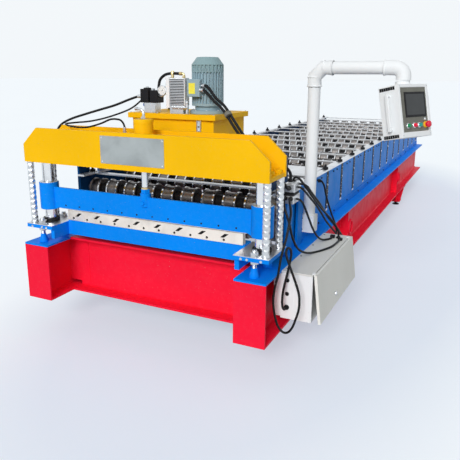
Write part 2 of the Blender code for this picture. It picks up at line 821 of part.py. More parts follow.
def tie_rod(name, side, y):
    low = SHELF_TOP_Z + GAP
    high = BEAM_FLOOR_Z - GAP
    x = side * ROD_X
    rod = cylinder("Z", x, y, ROD_RADIUS, low, high, 8)
    nuts = joined(
        cylinder("Z", x, y, NUT_RADIUS, low, low + NUT_HEIGHT, 6),
        cylinder("Z", x, y, NUT_RADIUS, high - NUT_HEIGHT, high, 6),
    )
    add_object(name, fuse(rod, nuts), STEEL)


for side_name, side in SIDES:
    shelf("shear_shelf_" + side_name, side)
    guide_column("guide_column_" + side_name, side)
    tie_rod("tie_rod_front_" + side_name, side, ROD_FRONT_Y)
    tie_rod("tie_rod_back_" + side_name, side, ROD_BACK_Y)


# Top beam: two chamfered plates on a floor plate, with a hole for the piston rod
def top_beam():
    half = MACHINE_HALF_WIDTH - TOP_BEAM_INSET
    corner = BEAM_FLOOR_Z + TOP_BEAM_CORNER_Z
    top = BEAM_FLOOR_Z + TOP_BEAM_HEIGHT
    outline = [
        (-half, BEAM_FLOOR_Z),
        (half, BEAM_FLOOR_Z),
        (half, corner),
        (half - TOP_BEAM_CHAMFER, top),
        (-half + TOP_BEAM_CHAMFER, top),
        (-half, corner),
    ]
    front = prism(outline, "Y", TOP_BEAM_FRONT_Y, TOP_BEAM_FRONT_Y + TOP_BEAM_PLATE)
    back = prism(outline, "Y", TOP_BEAM_BACK_Y - TOP_BEAM_PLATE, TOP_BEAM_BACK_Y)
    reach = half - TOP_BEAM_FLOOR_INSET
    floor_top = BEAM_FLOOR_Z + TOP_BEAM_FLOOR
    floor = box(
        (-reach, TOP_BEAM_FRONT_Y + TOP_BEAM_PLATE / 2, BEAM_FLOOR_Z),
        (reach, TOP_BEAM_BACK_Y - TOP_BEAM_PLATE / 2, floor_top),
    )
    hole = cylinder(
        "Z",
        0,
        COLUMN_Y,
        PISTON_ROD_RADIUS + PISTON_ROD_CLEARANCE,
        BEAM_FLOOR_Z - TOP_BEAM_FLOOR,
        floor_top + TOP_BEAM_FLOOR,
        16,
    )
    add_object("top_beam", cut(fuse(joined(front, back), floor), hole), YELLOW)


top_beam()


# Lower shear beam between the shelves, and its blade with slanted openings
def lower_shear():
    beam_half = SHELF_WEB_X - GAP
    beam = box(
        (-beam_half, LOWER_BEAM_FRONT_Y, BASE_TOP + LOWER_BEAM_BOTTOM),
        (beam_half, LOWER_BEAM_BACK_Y, BASE_TOP + LOWER_BEAM_TOP),
    )
    add_object("lower_shear_beam", beam, BLUE)
    half = SHELF_WEB_X - BLADE_INSET
    low = BASE_TOP + LOWER_BEAM_TOP + GAP
    high = BASE_TOP + LOWER_BLADE_TOP
    front = LOWER_BEAM_FRONT_Y - LOWER_BLADE_PROUD
    back = LOWER_BEAM_FRONT_Y + LOWER_BLADE_SEAT
    pitch = 2 * half / BLADE_SLOT_COUNT
    openings = []
    for i in range(BLADE_SLOT_COUNT):
        x = (i - (BLADE_SLOT_COUNT - 1) / 2) * pitch
        outline = [
            (x - BLADE_SLOT_WIDTH / 2 - BLADE_SLOT_SLANT / 2, low + BLADE_SLOT_EDGE),
            (x + BLADE_SLOT_WIDTH / 2 - BLADE_SLOT_SLANT / 2, low + BLADE_SLOT_EDGE),
            (x + BLADE_SLOT_WIDTH / 2 + BLADE_SLOT_SLANT / 2, high - BLADE_SLOT_EDGE),
            (x - BLADE_SLOT_WIDTH / 2 + BLADE_SLOT_SLANT / 2, high - BLADE_SLOT_EDGE),
        ]
        openings.append(prism(outline, "Y", front - BLADE_SLOT_EDGE, back + BLADE_SLOT_EDGE))
    add_object("lower_blade", cut(box((-half, front, low), (half, back, high)), joined(*openings)), STEEL)


lower_shear()

# Ram: the moving plate with a sleeve on each guide column, its blade and the round socket of the rod
RAM_BOTTOM = BASE_TOP + RAM_BOTTOM_ABOVE
RAM_TOP = BASE_TOP + RAM_TOP_ABOVE
SLEEVE_BOTTOM = BASE_TOP + SLEEVE_BOTTOM_ABOVE
SLEEVE_TOP = BASE_TOP + SLEEVE_TOP_ABOVE
CYLINDER_FLOOR = BEAM_FLOOR_Z + TOP_BEAM_FLOOR
ROD_TOP = CYLINDER_FLOOR + PISTON_ROD_IN_CYLINDER


def ram_corner(side):
    """The plate's lower corner beside a sleeve, drawn down at a slant."""
    outer = COLUMN_X - RAM_END_INSET
    inner = COLUMN_X - SLEEVE_RADIUS
    outline = [
        (side * (inner - RAM_CORNER_WIDTH), RAM_BOTTOM),
        (side * (inner - RAM_CORNER_WIDTH), RAM_BOTTOM + RAM_CORNER_DROP),
        (side * outer, RAM_BOTTOM + RAM_CORNER_DROP),
        (side * outer, RAM_BOTTOM - RAM_CORNER_DROP),
        (side * inner, RAM_BOTTOM - RAM_CORNER_DROP),
    ]
    return prism(outline, "Y", RAM_FRONT_Y, RAM_FRONT_Y + RAM_THICK)


def ram():
    reach = COLUMN_X - RAM_END_INSET
    back = RAM_FRONT_Y + RAM_THICK
    plate = box((-reach, RAM_FRONT_Y, RAM_BOTTOM), (reach, back, RAM_TOP))
    blade_half = COLUMN_X - SLEEVE_RADIUS - RAM_CORNER_WIDTH - UPPER_BLADE_INSET
    blade = box(
        (-blade_half, back - UPPER_BLADE_SEAT, BASE_TOP + UPPER_BLADE_BOTTOM),
        (blade_half, back + UPPER_BLADE_THICK, BASE_TOP + UPPER_BLADE_TOP),
    )
    sleeves = []
    bores = []
    for side in (-1, 1):
        sleeves.append(cylinder("Z", side * COLUMN_X, COLUMN_Y, SLEEVE_RADIUS, SLEEVE_BOTTOM, SLEEVE_TOP, 20))
        bores.append(
            cylinder(
                "Z",
                side * COLUMN_X,
                COLUMN_Y,
                COLUMN_RADIUS + GAP,
                SLEEVE_BOTTOM - COLLAR_HEIGHT,
                SLEEVE_TOP + COLLAR_HEIGHT,
                16,
            )
        )
    socket_low = BASE_TOP + SOCKET_BOTTOM_ABOVE
    socket_high = BASE_TOP + SOCKET_TOP_ABOVE
    socket = cylinder("Z", 0, COLUMN_Y, SOCKET_RADIUS, socket_low, socket_high, 16)
    nut_low = socket_high - SOCKET_RADIUS
    nut = cylinder("Z", 0, COLUMN_Y, ROD_NUT_RADIUS, nut_low, socket_high + ROD_NUT_HEIGHT, 6)
    rod = cylinder("Z", 0, COLUMN_Y, PISTON_ROD_RADIUS - GAP, nut_low, ROD_TOP, 16)
    corners = joined(ram_corner(-1), ram_corner(1))
    body = fuse(plate, corners, joined(*sleeves), blade, socket, nut, rod)
    add_object("shear_ram", cut(body, joined(*bores)), BLUE)


ram()


# Press cylinder, standing in the top beam, with a port for its hose on the left
def press_cylinder():
    foot = CYLINDER_FLOOR + GAP
    top = BASE_TOP + CYLINDER_TOP
    shoulder = CYLINDER_FLOOR + CYLINDER_FOOT_HEIGHT
    cap = top - CYLINDER_CAP_HEIGHT
    profile = [
        (foot, CYLINDER_FOOT_RADIUS),
        (shoulder, CYLINDER_FOOT_RADIUS),
        (shoulder + GAP, CYLINDER_RADIUS),
        (cap, CYLINDER_RADIUS),
        (cap + GAP, CYLINDER_CAP_RADIUS),
        (top, CYLINDER_CAP_RADIUS),
    ]
    port_z = BASE_TOP + CYLINDER_PORT_ABOVE
    port = pipe(
        [
            (-CYLINDER_RADIUS / 2, port_z),
            (-CYLINDER_PORT_REACH + CYLINDER_PORT_BEND, port_z),
            (-CYLINDER_PORT_REACH, port_z + CYLINDER_PORT_BEND),
            (-CYLINDER_PORT_REACH, port_z + CYLINDER_PORT_RISE),
        ],
        COLUMN_Y,
        CYLINDER_PORT_RADIUS,
        8,
    )
    bore = cylinder(
        "Z",
        0,
        COLUMN_Y,
        PISTON_ROD_RADIUS + PISTON_ROD_CLEARANCE,
        CYLINDER_FLOOR - TOP_BEAM_FLOOR,
        ROD_TOP + RAM_STROKE + PISTON_ROD_CLEARANCE,
        16,
    )
    add_object("press_cylinder", cut(fuse(turned("Z", 0, COLUMN_Y, profile, 20), port), bore), YELLOW)


press_cylinder()

# Hydraulic unit: a stand with two plates on each side and two bars under the tank
STAND_INNER_X = WALL_OUTER_X + FOOT_RAIL_PROUD + GAP
STAND_OUTER_X = STAND_INNER_X + STAND_PLATE_THICK
TANK_FLOOR_Z = BASE_TOP + TANK_BOTTOM
LID_TOP = TANK_FLOOR_Z + TANK_HEIGHT


def tank_stand():
    bar_low = TANK_FLOOR_Z - STAND_BAR_HEIGHT
    bar_high = TANK_FLOOR_Z - GAP
    plates = []
    links = []
    for side in (-1, 1):
        low, high = sided(side, STAND_INNER_X, STAND_OUTER_X)
        for y, length in ((STAND_FRONT_Y, STAND_FRONT_LENGTH), (STAND_BACK_Y, STAND_BACK_LENGTH)):
            plates.append(box((low, y, BASE_TOP + GAP), (high, y + length, bar_high)))
        low, high = sided(side, TANK_HALF_WIDTH - STAND_LINK_WIDTH, TANK_HALF_WIDTH)
        links.append(
            box(
                (low, STAND_BAR_FRONT_Y + STAND_BAR_WIDTH / 2, bar_low + STAND_LINK_DROP),
                (high, STAND_BAR_BACK_Y + STAND_BAR_WIDTH / 2, bar_high),
            )
        )
    reach = (STAND_INNER_X + STAND_OUTER_X) / 2
    bars = [
        box((-reach, y, bar_low), (reach, y + STAND_BAR_WIDTH, bar_high))
        for y in (STAND_BAR_FRONT_Y, STAND_BAR_BACK_Y)
    ]
    add_object("tank_stand", fuse(joined(*plates), joined(*bars), joined(*links)), BLUE)


tank_stand()


def oil_tank():
    back = TANK_FRONT_Y + TANK_DEPTH
    body = box((-TANK_HALF_WIDTH, TANK_FRONT_Y, TANK_FLOOR_Z), (TANK_HALF_WIDTH, back, LID_TOP - LID_THICK / 2))
    lid = box(
        (-TANK_HALF_WIDTH - LID_LIP, TANK_FRONT_Y - LID_LIP, LID_TOP - LID_THICK),
        (TANK_HALF_WIDTH + LID_LIP, back + LID_LIP, LID_TOP),
    )
    gauge_top = LID_TOP - LEVEL_GAUGE_DROP
    gauge_low = gauge_top - LEVEL_GAUGE_HEIGHT
    gauge = box(
        (LEVEL_GAUGE_X - LEVEL_GAUGE_WIDTH / 2, TANK_FRONT_Y - LEVEL_GAUGE_PROUD, gauge_low),
        (LEVEL_GAUGE_X + LEVEL_GAUGE_WIDTH / 2, TANK_FRONT_Y + LEVEL_GAUGE_PROUD, gauge_top),
    )
    filler_low = LID_TOP - LID_THICK / 2
    filler = cylinder("Z", FILLER_X, FILLER_Y, FILLER_RADIUS, filler_low, LID_TOP + FILLER_HEIGHT, 12)
    add_object("oil_tank", fuse(body, lid, gauge, filler), YELLOW)


oil_tank()


# Pump motor on the tank: flange, finned body, fan cowl and terminal box
def finned_outline(centre_u, centre_v, outer, inner, fins):
    """A ring of square fins, each two points out and two points in."""
    outline = []
    for i in range(fins):
        for part, radius in ((0.05, outer), (0.35, outer), (0.50, inner), (0.90, inner)):
            angle = 2 * math.pi * (i + part) / fins
            outline.append((centre_u + radius * math.cos(angle), centre_v + radius * math.sin(angle)))
    return outline


def pump_motor():
    top = LID_TOP + MOTOR_HEIGHT
    cowl = top - MOTOR_COWL_HEIGHT
    valley = MOTOR_RADIUS - MOTOR_FIN_DEPTH
    ends = turned(
        "Z",
        MOTOR_X,
        MOTOR_Y,
        [
            (LID_TOP + GAP, MOTOR_FLANGE_RADIUS),
            (LID_TOP + MOTOR_FLANGE_THICK, MOTOR_FLANGE_RADIUS),
            (LID_TOP + MOTOR_FLANGE_THICK + GAP, valley - MOTOR_FIN_DEPTH),
            (LID_TOP + MOTOR_FIN_BOTTOM + MOTOR_FIN_DEPTH, valley - MOTOR_FIN_DEPTH),
        ],
        20,
    )
    fins = prism(
        finned_outline(MOTOR_X, MOTOR_Y, MOTOR_RADIUS, valley, MOTOR_FIN_COUNT),
        "Z",
        LID_TOP + MOTOR_FIN_BOTTOM,
        cowl + MOTOR_FIN_DEPTH,
    )
    cover = turned(
        "Z",
        MOTOR_X,
        MOTOR_Y,
        [
            (cowl, MOTOR_RADIUS + GAP),
            (top - MOTOR_COWL_EDGE, MOTOR_RADIUS + GAP),
            (top, MOTOR_RADIUS - MOTOR_COWL_EDGE),
        ],
        20,
    )
    terminal = box(
        (MOTOR_X - TERMINAL_WIDTH, MOTOR_Y - MOTOR_RADIUS - TERMINAL_PROUD, LID_TOP + TERMINAL_BOTTOM),
        (MOTOR_X, MOTOR_Y - MOTOR_RADIUS / 2, LID_TOP + TERMINAL_BOTTOM + TERMINAL_HEIGHT),
    )
    add_object("pump_motor", fuse(ends, fins, cover, terminal), MOTOR_PAINT)


pump_motor()


# Oil cooler on a pump base, with open grooves between its fins and a bent pipe on top
def oil_cooler():
    low_x = COOLER_X - COOLER_WIDTH / 2
    high_x = COOLER_X + COOLER_WIDTH / 2
    back = COOLER_FRONT_Y + COOLER_DEPTH
    base_top = LID_TOP + COOLER_BOTTOM + COOLER_PIPE_RADIUS
    base = box(
        (COOLER_X - COOLER_BASE_WIDTH / 2, COOLER_FRONT_Y - COOLER_PIPE_RADIUS, LID_TOP + GAP),
        (COOLER_X + COOLER_BASE_WIDTH / 2, back - COOLER_PIPE_RADIUS, base_top),
    )
    core = box((low_x, COOLER_FRONT_Y, LID_TOP + COOLER_BOTTOM), (high_x, back, LID_TOP + COOLER_TOP))
    pitch = (COOLER_TOP - COOLER_BOTTOM) / (COOLER_FIN_COUNT + 1)
    grooves = []
    for i in range(COOLER_FIN_COUNT):
        z = LID_TOP + COOLER_BOTTOM + (i + 1) * pitch - pitch / 4
        near = COOLER_FRONT_Y + COOLER_GROOVE_DEPTH
        far = back - COOLER_GROOVE_DEPTH
        edge = COOLER_GROOVE_DEPTH
        grooves.append(box((low_x + edge, COOLER_FRONT_Y - edge, z), (high_x - edge, near, z + pitch / 2)))
        grooves.append(box((low_x + edge, far, z), (high_x - edge, back + edge, z + pitch / 2)))
    pipe_foot = LID_TOP + COOLER_TOP - COOLER_PIPE_RADIUS
    pipe_top = LID_TOP + COOLER_TOP + 3 * COOLER_PIPE_RADIUS
    bend = COOLER_PIPE_RADIUS
    bow = pipe(
        [
            (low_x + 2 * bend, pipe_foot),
            (low_x + 2 * bend, pipe_top - bend),
            (low_x + 3 * bend, pipe_top),
            (high_x - 3 * bend, pipe_top),
            (high_x - 2 * bend, pipe_top - bend),
            (high_x - 2 * bend, pipe_foot),
        ],
        COOLER_FRONT_Y + COOLER_DEPTH / 2,
        COOLER_PIPE_RADIUS,
        8,
    )
    add_object("oil_cooler", fuse(cut(core, joined(*grooves)), base, bow), DARK_STEEL)


oil_cooler()


# Valve block with a knob, and a round gauge beside it
def valve_block():
    low_x = VALVE_X - VALVE_WIDTH / 2
    high_x = VALVE_X + VALVE_WIDTH / 2
    low = LID_TOP + VALVE_BOTTOM
    manifold = box(
        (VALVE_X - MANIFOLD_WIDTH / 2, VALVE_FRONT_Y + KNOB_RADIUS / 2, LID_TOP + GAP),
        (VALVE_X + MANIFOLD_WIDTH / 2, VALVE_FRONT_Y + VALVE_DEPTH - KNOB_RADIUS / 2, low + KNOB_RADIUS),
    )
    valve = box((low_x, VALVE_FRONT_Y, low), (high_x, VALVE_FRONT_Y + VALVE_DEPTH, low + VALVE_HEIGHT))
    knob_y = VALVE_FRONT_Y + VALVE_DEPTH / 2
    knob = cylinder(
        "X",
        knob_y,
        low - KNOB_RADIUS,
        KNOB_RADIUS,
        VALVE_X - MANIFOLD_WIDTH / 2 - KNOB_LENGTH,
        VALVE_X - MANIFOLD_WIDTH / 2 + KNOB_RADIUS,
        8,
    )
    stem_z = LID_TOP + DIAL_ABOVE
    stem_y = VALVE_FRONT_Y + DIAL_THICK
    stem = cylinder("X", stem_y, stem_z, KNOB_RADIUS / 2, high_x - KNOB_RADIUS, DIAL_X, 6)
    dial = cylinder("Y", DIAL_X, stem_z, DIAL_RADIUS, VALVE_FRONT_Y, VALVE_FRONT_Y + 2 * DIAL_THICK, 16)
    add_object("valve_block", fuse(valve, manifold, knob, stem, dial), DARK_STEEL)


valve_block()


# Cutting valve on the outer side of the stand: a block with two solenoid coils
def cut_valve():
    low_x = STAND_OUTER_X + GAP
    high_x = low_x + CUT_VALVE_WIDTH
    low = BASE_TOP + CUT_VALVE_BOTTOM
    high = low + CUT_VALVE_HEIGHT
    back = CUT_VALVE_Y + CUT_VALVE_LENGTH
    block = box((low_x, CUT_VALVE_Y, low), (high_x, back, high))
    coil_x = (low_x + high_x) / 2
    coils = [
        cylinder("Z", coil_x, y, COIL_RADIUS, high - COIL_RADIUS / 2, high + COIL_HEIGHT, 10)
        for y in (CUT_VALVE_Y + CUT_VALVE_LENGTH / 4, back - CUT_VALVE_LENGTH / 4)
    ]
    add_object("cut_valve", fuse(block, joined(*coils)), DARK_STEEL)


cut_valve()

# Post, elbows and arm that carry the control box
POST_X = STAND_INNER_X + POST_CLEARANCE + POST_RADIUS
ARM_Z = BASE_TOP + ARM_HEIGHT
ARM_END_X = POST_X + ARM_REACH
DROP_BOTTOM = ARM_Z - DROP_LENGTH


def control_post():
    run = pipe(
        [
            (POST_X, BASE_TOP + POST_FLANGE_THICK / 2),
            (POST_X, ARM_Z - ELBOW_CUT),
            (POST_X + ELBOW_CUT, ARM_Z),
            (ARM_END_X - ELBOW_CUT, ARM_Z),
            (ARM_END_X - ELBOW_CUT / 3, ARM_Z - ELBOW_CUT / 6),
            (ARM_END_X, ARM_Z - ELBOW_CUT),
            (ARM_END_X, DROP_BOTTOM),
        ],
        POST_Y,
        POST_RADIUS,
        12,
    )
    elbow_z = ARM_Z - ELBOW_CUT
    near = POST_X + ELBOW_CUT
    far = ARM_END_X - ELBOW_CUT
    reach = SLEEVE_PIPE_LENGTH
    sleeves = joined(
        cylinder("Z", POST_X, POST_Y, SLEEVE_PIPE_RADIUS, elbow_z - reach, elbow_z, 12),
        cylinder("X", POST_Y, ARM_Z, SLEEVE_PIPE_RADIUS, near, near + reach, 12),
        cylinder("X", POST_Y, ARM_Z, SLEEVE_PIPE_RADIUS, far - reach, far, 12),
    )
    flange_low = POST_X - POST_RADIUS
    flange = box(
        (flange_low, POST_Y - POST_FLANGE_HALF, BASE_TOP + GAP),
        (MACHINE_HALF_WIDTH - GAP, POST_Y + POST_FLANGE_HALF, BASE_TOP + POST_FLANGE_THICK),
    )
    bracket = box(
        (flange_low, POST_Y - POST_BRACKET_HALF, BASE_TOP + POST_BRACKET_BOTTOM),
        (POST_X + POST_BRACKET_HALF, POST_Y + POST_BRACKET_HALF, BASE_TOP + POST_BRACKET_TOP),
    )
    add_object("control_post", fuse(run, sleeves, joined(flange, bracket)), WHITE)


control_post()


# Control box, tilted back under the arm and turned towards the shear.
# It is drawn upright with its front at +X and its top's middle at the origin, then tilted and turned.
def tilted(mesh):
    lean = Matrix.Rotation(-BOX_TILT, 4, "Y")
    mesh.transform(lean)
    return mesh


def grip(side):
    """A handle on one side of the box: a bar held off by two stubs."""
    near = side * (BOX_WIDTH / 2 - GRIP_THICK / 2)
    far = side * (BOX_WIDTH / 2 + GRIP_STAND_OFF)
    low, high = sorted((far, far - side * GRIP_THICK))
    top = -(BOX_HEIGHT - GRIP_LENGTH) / 2
    bottom = top - GRIP_LENGTH
    bar = box((GRIP_FORWARD, low, bottom), (GRIP_FORWARD + GRIP_THICK, high, top))
    low, high = sorted((near, far - side * GRIP_THICK / 2))
    stubs = [
        box(
            (GRIP_FORWARD + GRIP_THICK / 8, low, level),
            (GRIP_FORWARD + 7 * GRIP_THICK / 8, high, level + GRIP_THICK),
        )
        for level in (bottom + GRIP_THICK / 2, top - 3 * GRIP_THICK / 2)
    ]
    return fuse(bar, joined(*stubs))


def control_box():
    face = BOX_DEPTH / 2
    half = BOX_WIDTH / 2
    shell = box((-face, -half, -BOX_HEIGHT), (face, half, 0))
    recess = box(
        (face - PANEL_RECESS, -half + PANEL_SIDE, -BOX_HEIGHT + PANEL_BOTTOM),
        (face + PANEL_RECESS, half - PANEL_SIDE, -PANEL_TOP),
    )
    panel = face - PANEL_RECESS
    screen = box(
        (panel - SCREEN_PROUD, -SCREEN_WIDTH / 2, -SCREEN_DROP - SCREEN_HEIGHT),
        (panel + SCREEN_PROUD, SCREEN_WIDTH / 2, -SCREEN_DROP),
    )
    knobs = []
    for i in range(4):
        y = (i - 1.5) * BUTTON_PITCH
        radius, proud = (STOP_RADIUS, STOP_PROUD) if i == 3 else (BUTTON_RADIUS, BUTTON_PROUD)
        knobs.append(cylinder("X", y, -BUTTON_DROP, radius, panel - SCREEN_PROUD, panel + proud, 10))
    body = fuse(cut(shell, recess), screen, joined(*knobs), joined(grip(-1), grip(1)))
    neck = cylinder("Z", 0, 0, POST_RADIUS - GAP, -BOX_NECK, BOX_NECK, 14)
    made = add_object("control_box", fuse(tilted(body), neck), WHITE)
    made.location = (ARM_END_X, POST_Y, DROP_BOTTOM - GAP - BOX_NECK)
    made.rotation_euler = (0, 0, -BOX_TURN)


control_box()

# Electric cabinet on the right base beam
CABINET_INNER_X = MACHINE_HALF_WIDTH + GAP
CABINET_OUTER_X = MACHINE_HALF_WIDTH + CABINET_WIDTH
CABINET_BACK_Y = CABINET_FRONT_Y + CABINET_LENGTH
CABINET_HINGE = (CABINET_OUTER_X + HINGE_OUT, CABINET_FRONT_Y, BASE_BOTTOM + CABINET_TOP - HINGE_DROP)
CABLE_HOLE_X = CABINET_INNER_X + CABINET_HOLE_X
CABLE_HOLES_Z = [BASE_BOTTOM + CABINET_HOLE_TOP - i * CABINET_HOLE_PITCH for i in range(3)]

# Where a cable enters the cabinet from above, and the clip that holds another on its roof
ROOF_GLAND = (CABINET_OUTER_X - ROOF_GLAND_INSET, CABINET_BACK_Y - ROOF_GLAND_TO_BACK)
ROOF_CLIP = (CABINET_OUTER_X - ROOF_CLIP_INSET, CABINET_BACK_Y - ROOF_CLIP_TO_BACK)


def cabinet_body():
    low = BASE_BOTTOM + CABINET_BOTTOM
    high = BASE_BOTTOM + CABINET_TOP
    shell = box((CABINET_INNER_X, CABINET_FRONT_Y, low), (CABINET_OUTER_X, CABINET_BACK_Y, high))
    hollow = box(
        (CABINET_INNER_X + CABINET_SHEET, CABINET_FRONT_Y + CABINET_SHEET, low + CABINET_SHEET),
        (CABINET_OUTER_X + CABINET_SHEET, CABINET_BACK_Y - CABINET_SHEET, high - CABINET_SHEET),
    )
    front = CABINET_FRONT_Y - CABINET_SHEET
    holes = [
        cylinder("Y", CABLE_HOLE_X, z, CABINET_HOLE_RADIUS, front, CABINET_FRONT_Y + 2 * CABINET_SHEET, 10)
        for z in CABLE_HOLES_Z[:2]
    ]
    glands = joined(
        cylinder(
            "Y",
            CABLE_HOLE_X,
            CABLE_HOLES_Z[2],
            GLAND_RADIUS,
            CABINET_FRONT_Y - GLAND_LENGTH,
            CABINET_FRONT_Y + CABINET_SHEET / 2,
            8,
        ),
        cylinder("Z", *ROOF_GLAND, GLAND_RADIUS, high - CABINET_SHEET / 2, high + GLAND_LENGTH, 8),
        box(
            (ROOF_CLIP[0] - GLAND_RADIUS, ROOF_CLIP[1], high - CABINET_SHEET / 2),
            (ROOF_CLIP[0] + GLAND_RADIUS, ROOF_CLIP[1] + GLAND_LENGTH, high + 2 * GLAND_LENGTH),
        ),
    )
    lug_low = CABINET_HINGE[2] - HINGE_DROP - GAP
    lug_high = CABINET_HINGE[2] + HINGE_DROP - GAP
    lugs = joined(
        *(
            box(
                (CABINET_OUTER_X - DOOR_CLEARANCE, y, lug_low),
                (CABINET_HINGE[0] + HINGE_DROP, y + HINGE_LUG, lug_high),
            )
            for y in (CABINET_FRONT_Y, CABINET_BACK_Y - HINGE_LUG)
        )
    )
    body = cut(shell, hollow, joined(*holes))
    add_object("cabinet_body", fuse(body, glands, lugs), WHITE)


def cabinet_door():
    """A folded sheet: a flat face with a rim round its inner side, and a lock."""
    low = BASE_BOTTOM + CABINET_BOTTOM - DOOR_OVERHANG
    high = BASE_BOTTOM + CABINET_TOP
    front = CABINET_FRONT_Y + HINGE_LUG + GAP
    back = CABINET_BACK_Y - HINGE_LUG - GAP
    inner = CABINET_OUTER_X + DOOR_CLEARANCE
    outer = inner + DOOR_THICK
    slab = box((inner, front, low), (outer, back, high))
    tray = box(
        (inner - DOOR_SHEET, front + DOOR_RIM, low + DOOR_RIM),
        (outer - DOOR_SHEET, back - DOOR_RIM, high - DOOR_RIM),
    )
    lock_z = low + LOCK_ABOVE
    lock_y = CABINET_FRONT_Y + LOCK_Y
    lock = cylinder("X", lock_y, lock_z, LOCK_RADIUS, outer - DOOR_SHEET / 2, outer + LOCK_PROUD, 10)
    made = add_object("cabinet_door", fuse(cut(slab, tray), lock), BEIGE)
    move_origin(made, CABINET_HINGE)
    made.rotation_euler = (0, -DOOR_REST_ANGLE, 0)


cabinet_body()
cabinet_door()


# Hoses and cables. Each route is a list of points chosen by hand: X, Y and the height above the base beams.
def above_base(points):
    return [(x, y, BASE_TOP + z) for x, y, z in points]


VALVE_LEFT_X = VALVE_X - VALVE_WIDTH / 2 - GAP
CUT_VALVE_FRONT = CUT_VALVE_Y - GAP
LOOP_END_Y = CABINET_FRONT_Y - GLAND_LENGTH - GAP

HOSE_LEFT = [
    (VALVE_LEFT_X, 0.520, 0.980),
    (-0.268, 0.520, 0.980),
    (-0.335, 0.500, 0.957),
    (-0.433, 0.470, 0.918),
    (-0.540, 0.440, 0.886),
    (-0.649, 0.410, 0.853),
    (-0.750, 0.390, 0.821),
    (-0.835, 0.382, 0.782),
    (-0.888, 0.388, 0.730),
    (-0.910, 0.420, 0.655),
    (-0.905, 0.490, 0.575),
    (-0.865, 0.565, 0.520),
    (-STAND_OUTER_X - GAP, 0.565, 0.520),
]
HOSE_PRESS = [
    (VALVE_LEFT_X, 0.556, 0.955),
    (-0.265, 0.556, 0.955),
    (-0.340, 0.515, 0.893),
    (-0.463, 0.440, 0.840),
    (-0.580, 0.385, 0.810),
    (-0.665, 0.325, 0.801),
    (-0.675, 0.240, 0.798),
    (-0.590, 0.190, 0.790),
    (-0.450, 0.170, 0.790),
    (-0.330, 0.170, 0.818),
    (-0.240, COLUMN_Y, 0.850),
    (-0.165, COLUMN_Y, 0.844),
    (-CYLINDER_PORT_REACH, COLUMN_Y, 0.805),
    (-CYLINDER_PORT_REACH, COLUMN_Y, CYLINDER_PORT_ABOVE + CYLINDER_PORT_RISE + GAP),
]
CABLE_TO_CABINET = [
    (0.8656, 0.4975, CUT_VALVE_BOTTOM + CUT_VALVE_HEIGHT + COIL_HEIGHT + GAP),
    (0.8656, 0.4975, 0.508),
    (0.876, 0.497, 0.519),
    (0.897, 0.495, 0.516),
    (0.922, 0.500, 0.490),
    (0.938, 0.540, 0.445),
    (0.948, 0.680, 0.352),
    (0.955, 0.850, 0.250),
    (0.975, 0.980, 0.165),
    (1.005, 1.040, 0.095),
    (*ROOF_GLAND, 0.045),
    (*ROOF_GLAND, GLAND_LENGTH + GAP),
]
CABLE_ON_CABINET = [
    (0.850, CUT_VALVE_FRONT, 0.405),
    (0.850, 0.375, 0.405),
    (0.870, 0.335, 0.360),
    (0.905, 0.320, 0.280),
    (0.920, 0.350, 0.180),
    (0.930, 0.430, 0.090),
    (0.945, 0.540, 0.033),
    (0.970, 0.640, 0.0095),
    (1.012, 0.725, 0.0090),
    (1.042, 0.820, 0.0090),
    (ROOF_CLIP[0], 0.930, 0.0090),
    (ROOF_CLIP[0], ROOF_CLIP[1] - GAP, 0.0090),
]
CABLE_ON_WALL = [
    (WALL_OUTER_X + GAP, 1.275, 0.360),
    (0.820, 1.275, 0.360),
    (0.838, 1.300, 0.320),
    (0.842, 1.350, 0.240),
    (0.848, 1.430, 0.140),
    (0.860, 1.470, 0.070),
    (0.885, 1.455, 0.026),
    (0.925, 1.380, -0.010),
    (0.958, 1.290, -0.060),
    (0.980, 1.215, -0.092),
    (0.991, 1.180, -0.100),
    (0.991, CABINET_BACK_Y + GAP, -0.100),
]
CABLE_LOOP = [
    (0.885, CUT_VALVE_FRONT, 0.405),
    (0.885, 0.375, 0.405),
    (0.905, 0.325, 0.388),
    (0.930, 0.275, 0.350),
    (0.936, 0.235, 0.295),
    (0.931, 0.200, 0.210),
    (0.917, 0.170, 0.115),
    (0.911, 0.150, 0.032),
    (0.905, 0.148, -0.010),
    (0.891, 0.149, -0.072),
    (0.882, 0.150, -0.155),
    (0.896, 0.150, -0.250),
    (0.924, 0.150, -0.325),
    (0.959, 0.150, -0.348),
    (0.994, 0.150, -0.320),
    (1.022, 0.150, -0.255),
    (1.040, 0.150, -0.175),
    (1.038, 0.150, -0.095),
    (1.016, 0.150, -0.025),
    (0.980, 0.151, 0.065),
    (0.955, 0.156, 0.135),
    (0.956, 0.178, 0.168),
    (0.968, 0.198, 0.130),
    (0.957, 0.206, 0.055),
    (0.935, 0.206, -0.040),
    (0.924, 0.202, -0.120),
    (0.926, 0.198, -0.180),
    (CABLE_HOLE_X, 0.208, CABLE_HOLES_Z[2] - BASE_TOP),
    (CABLE_HOLE_X, LOOP_END_Y, CABLE_HOLES_Z[2] - BASE_TOP),
]

cord("hose_left", above_base(HOSE_LEFT), HOSE_DIAMETER, BLACK_RUBBER)
cord("hose_press", above_base(HOSE_PRESS), SMALL_HOSE_DIAMETER, BLACK_RUBBER)
cord("cable_to_cabinet", above_base(CABLE_TO_CABINET), CABLE_DIAMETER, BLACK_RUBBER)
cord("cable_on_cabinet", above_base(CABLE_ON_CABINET), CABLE_DIAMETER, BLACK_RUBBER)
cord("cable_on_wall", above_base(CABLE_ON_WALL), CABLE_DIAMETER, BLACK_RUBBER)
cord("cable_loop", above_base(CABLE_LOOP), CABLE_DIAMETER, BLACK_RUBBER)


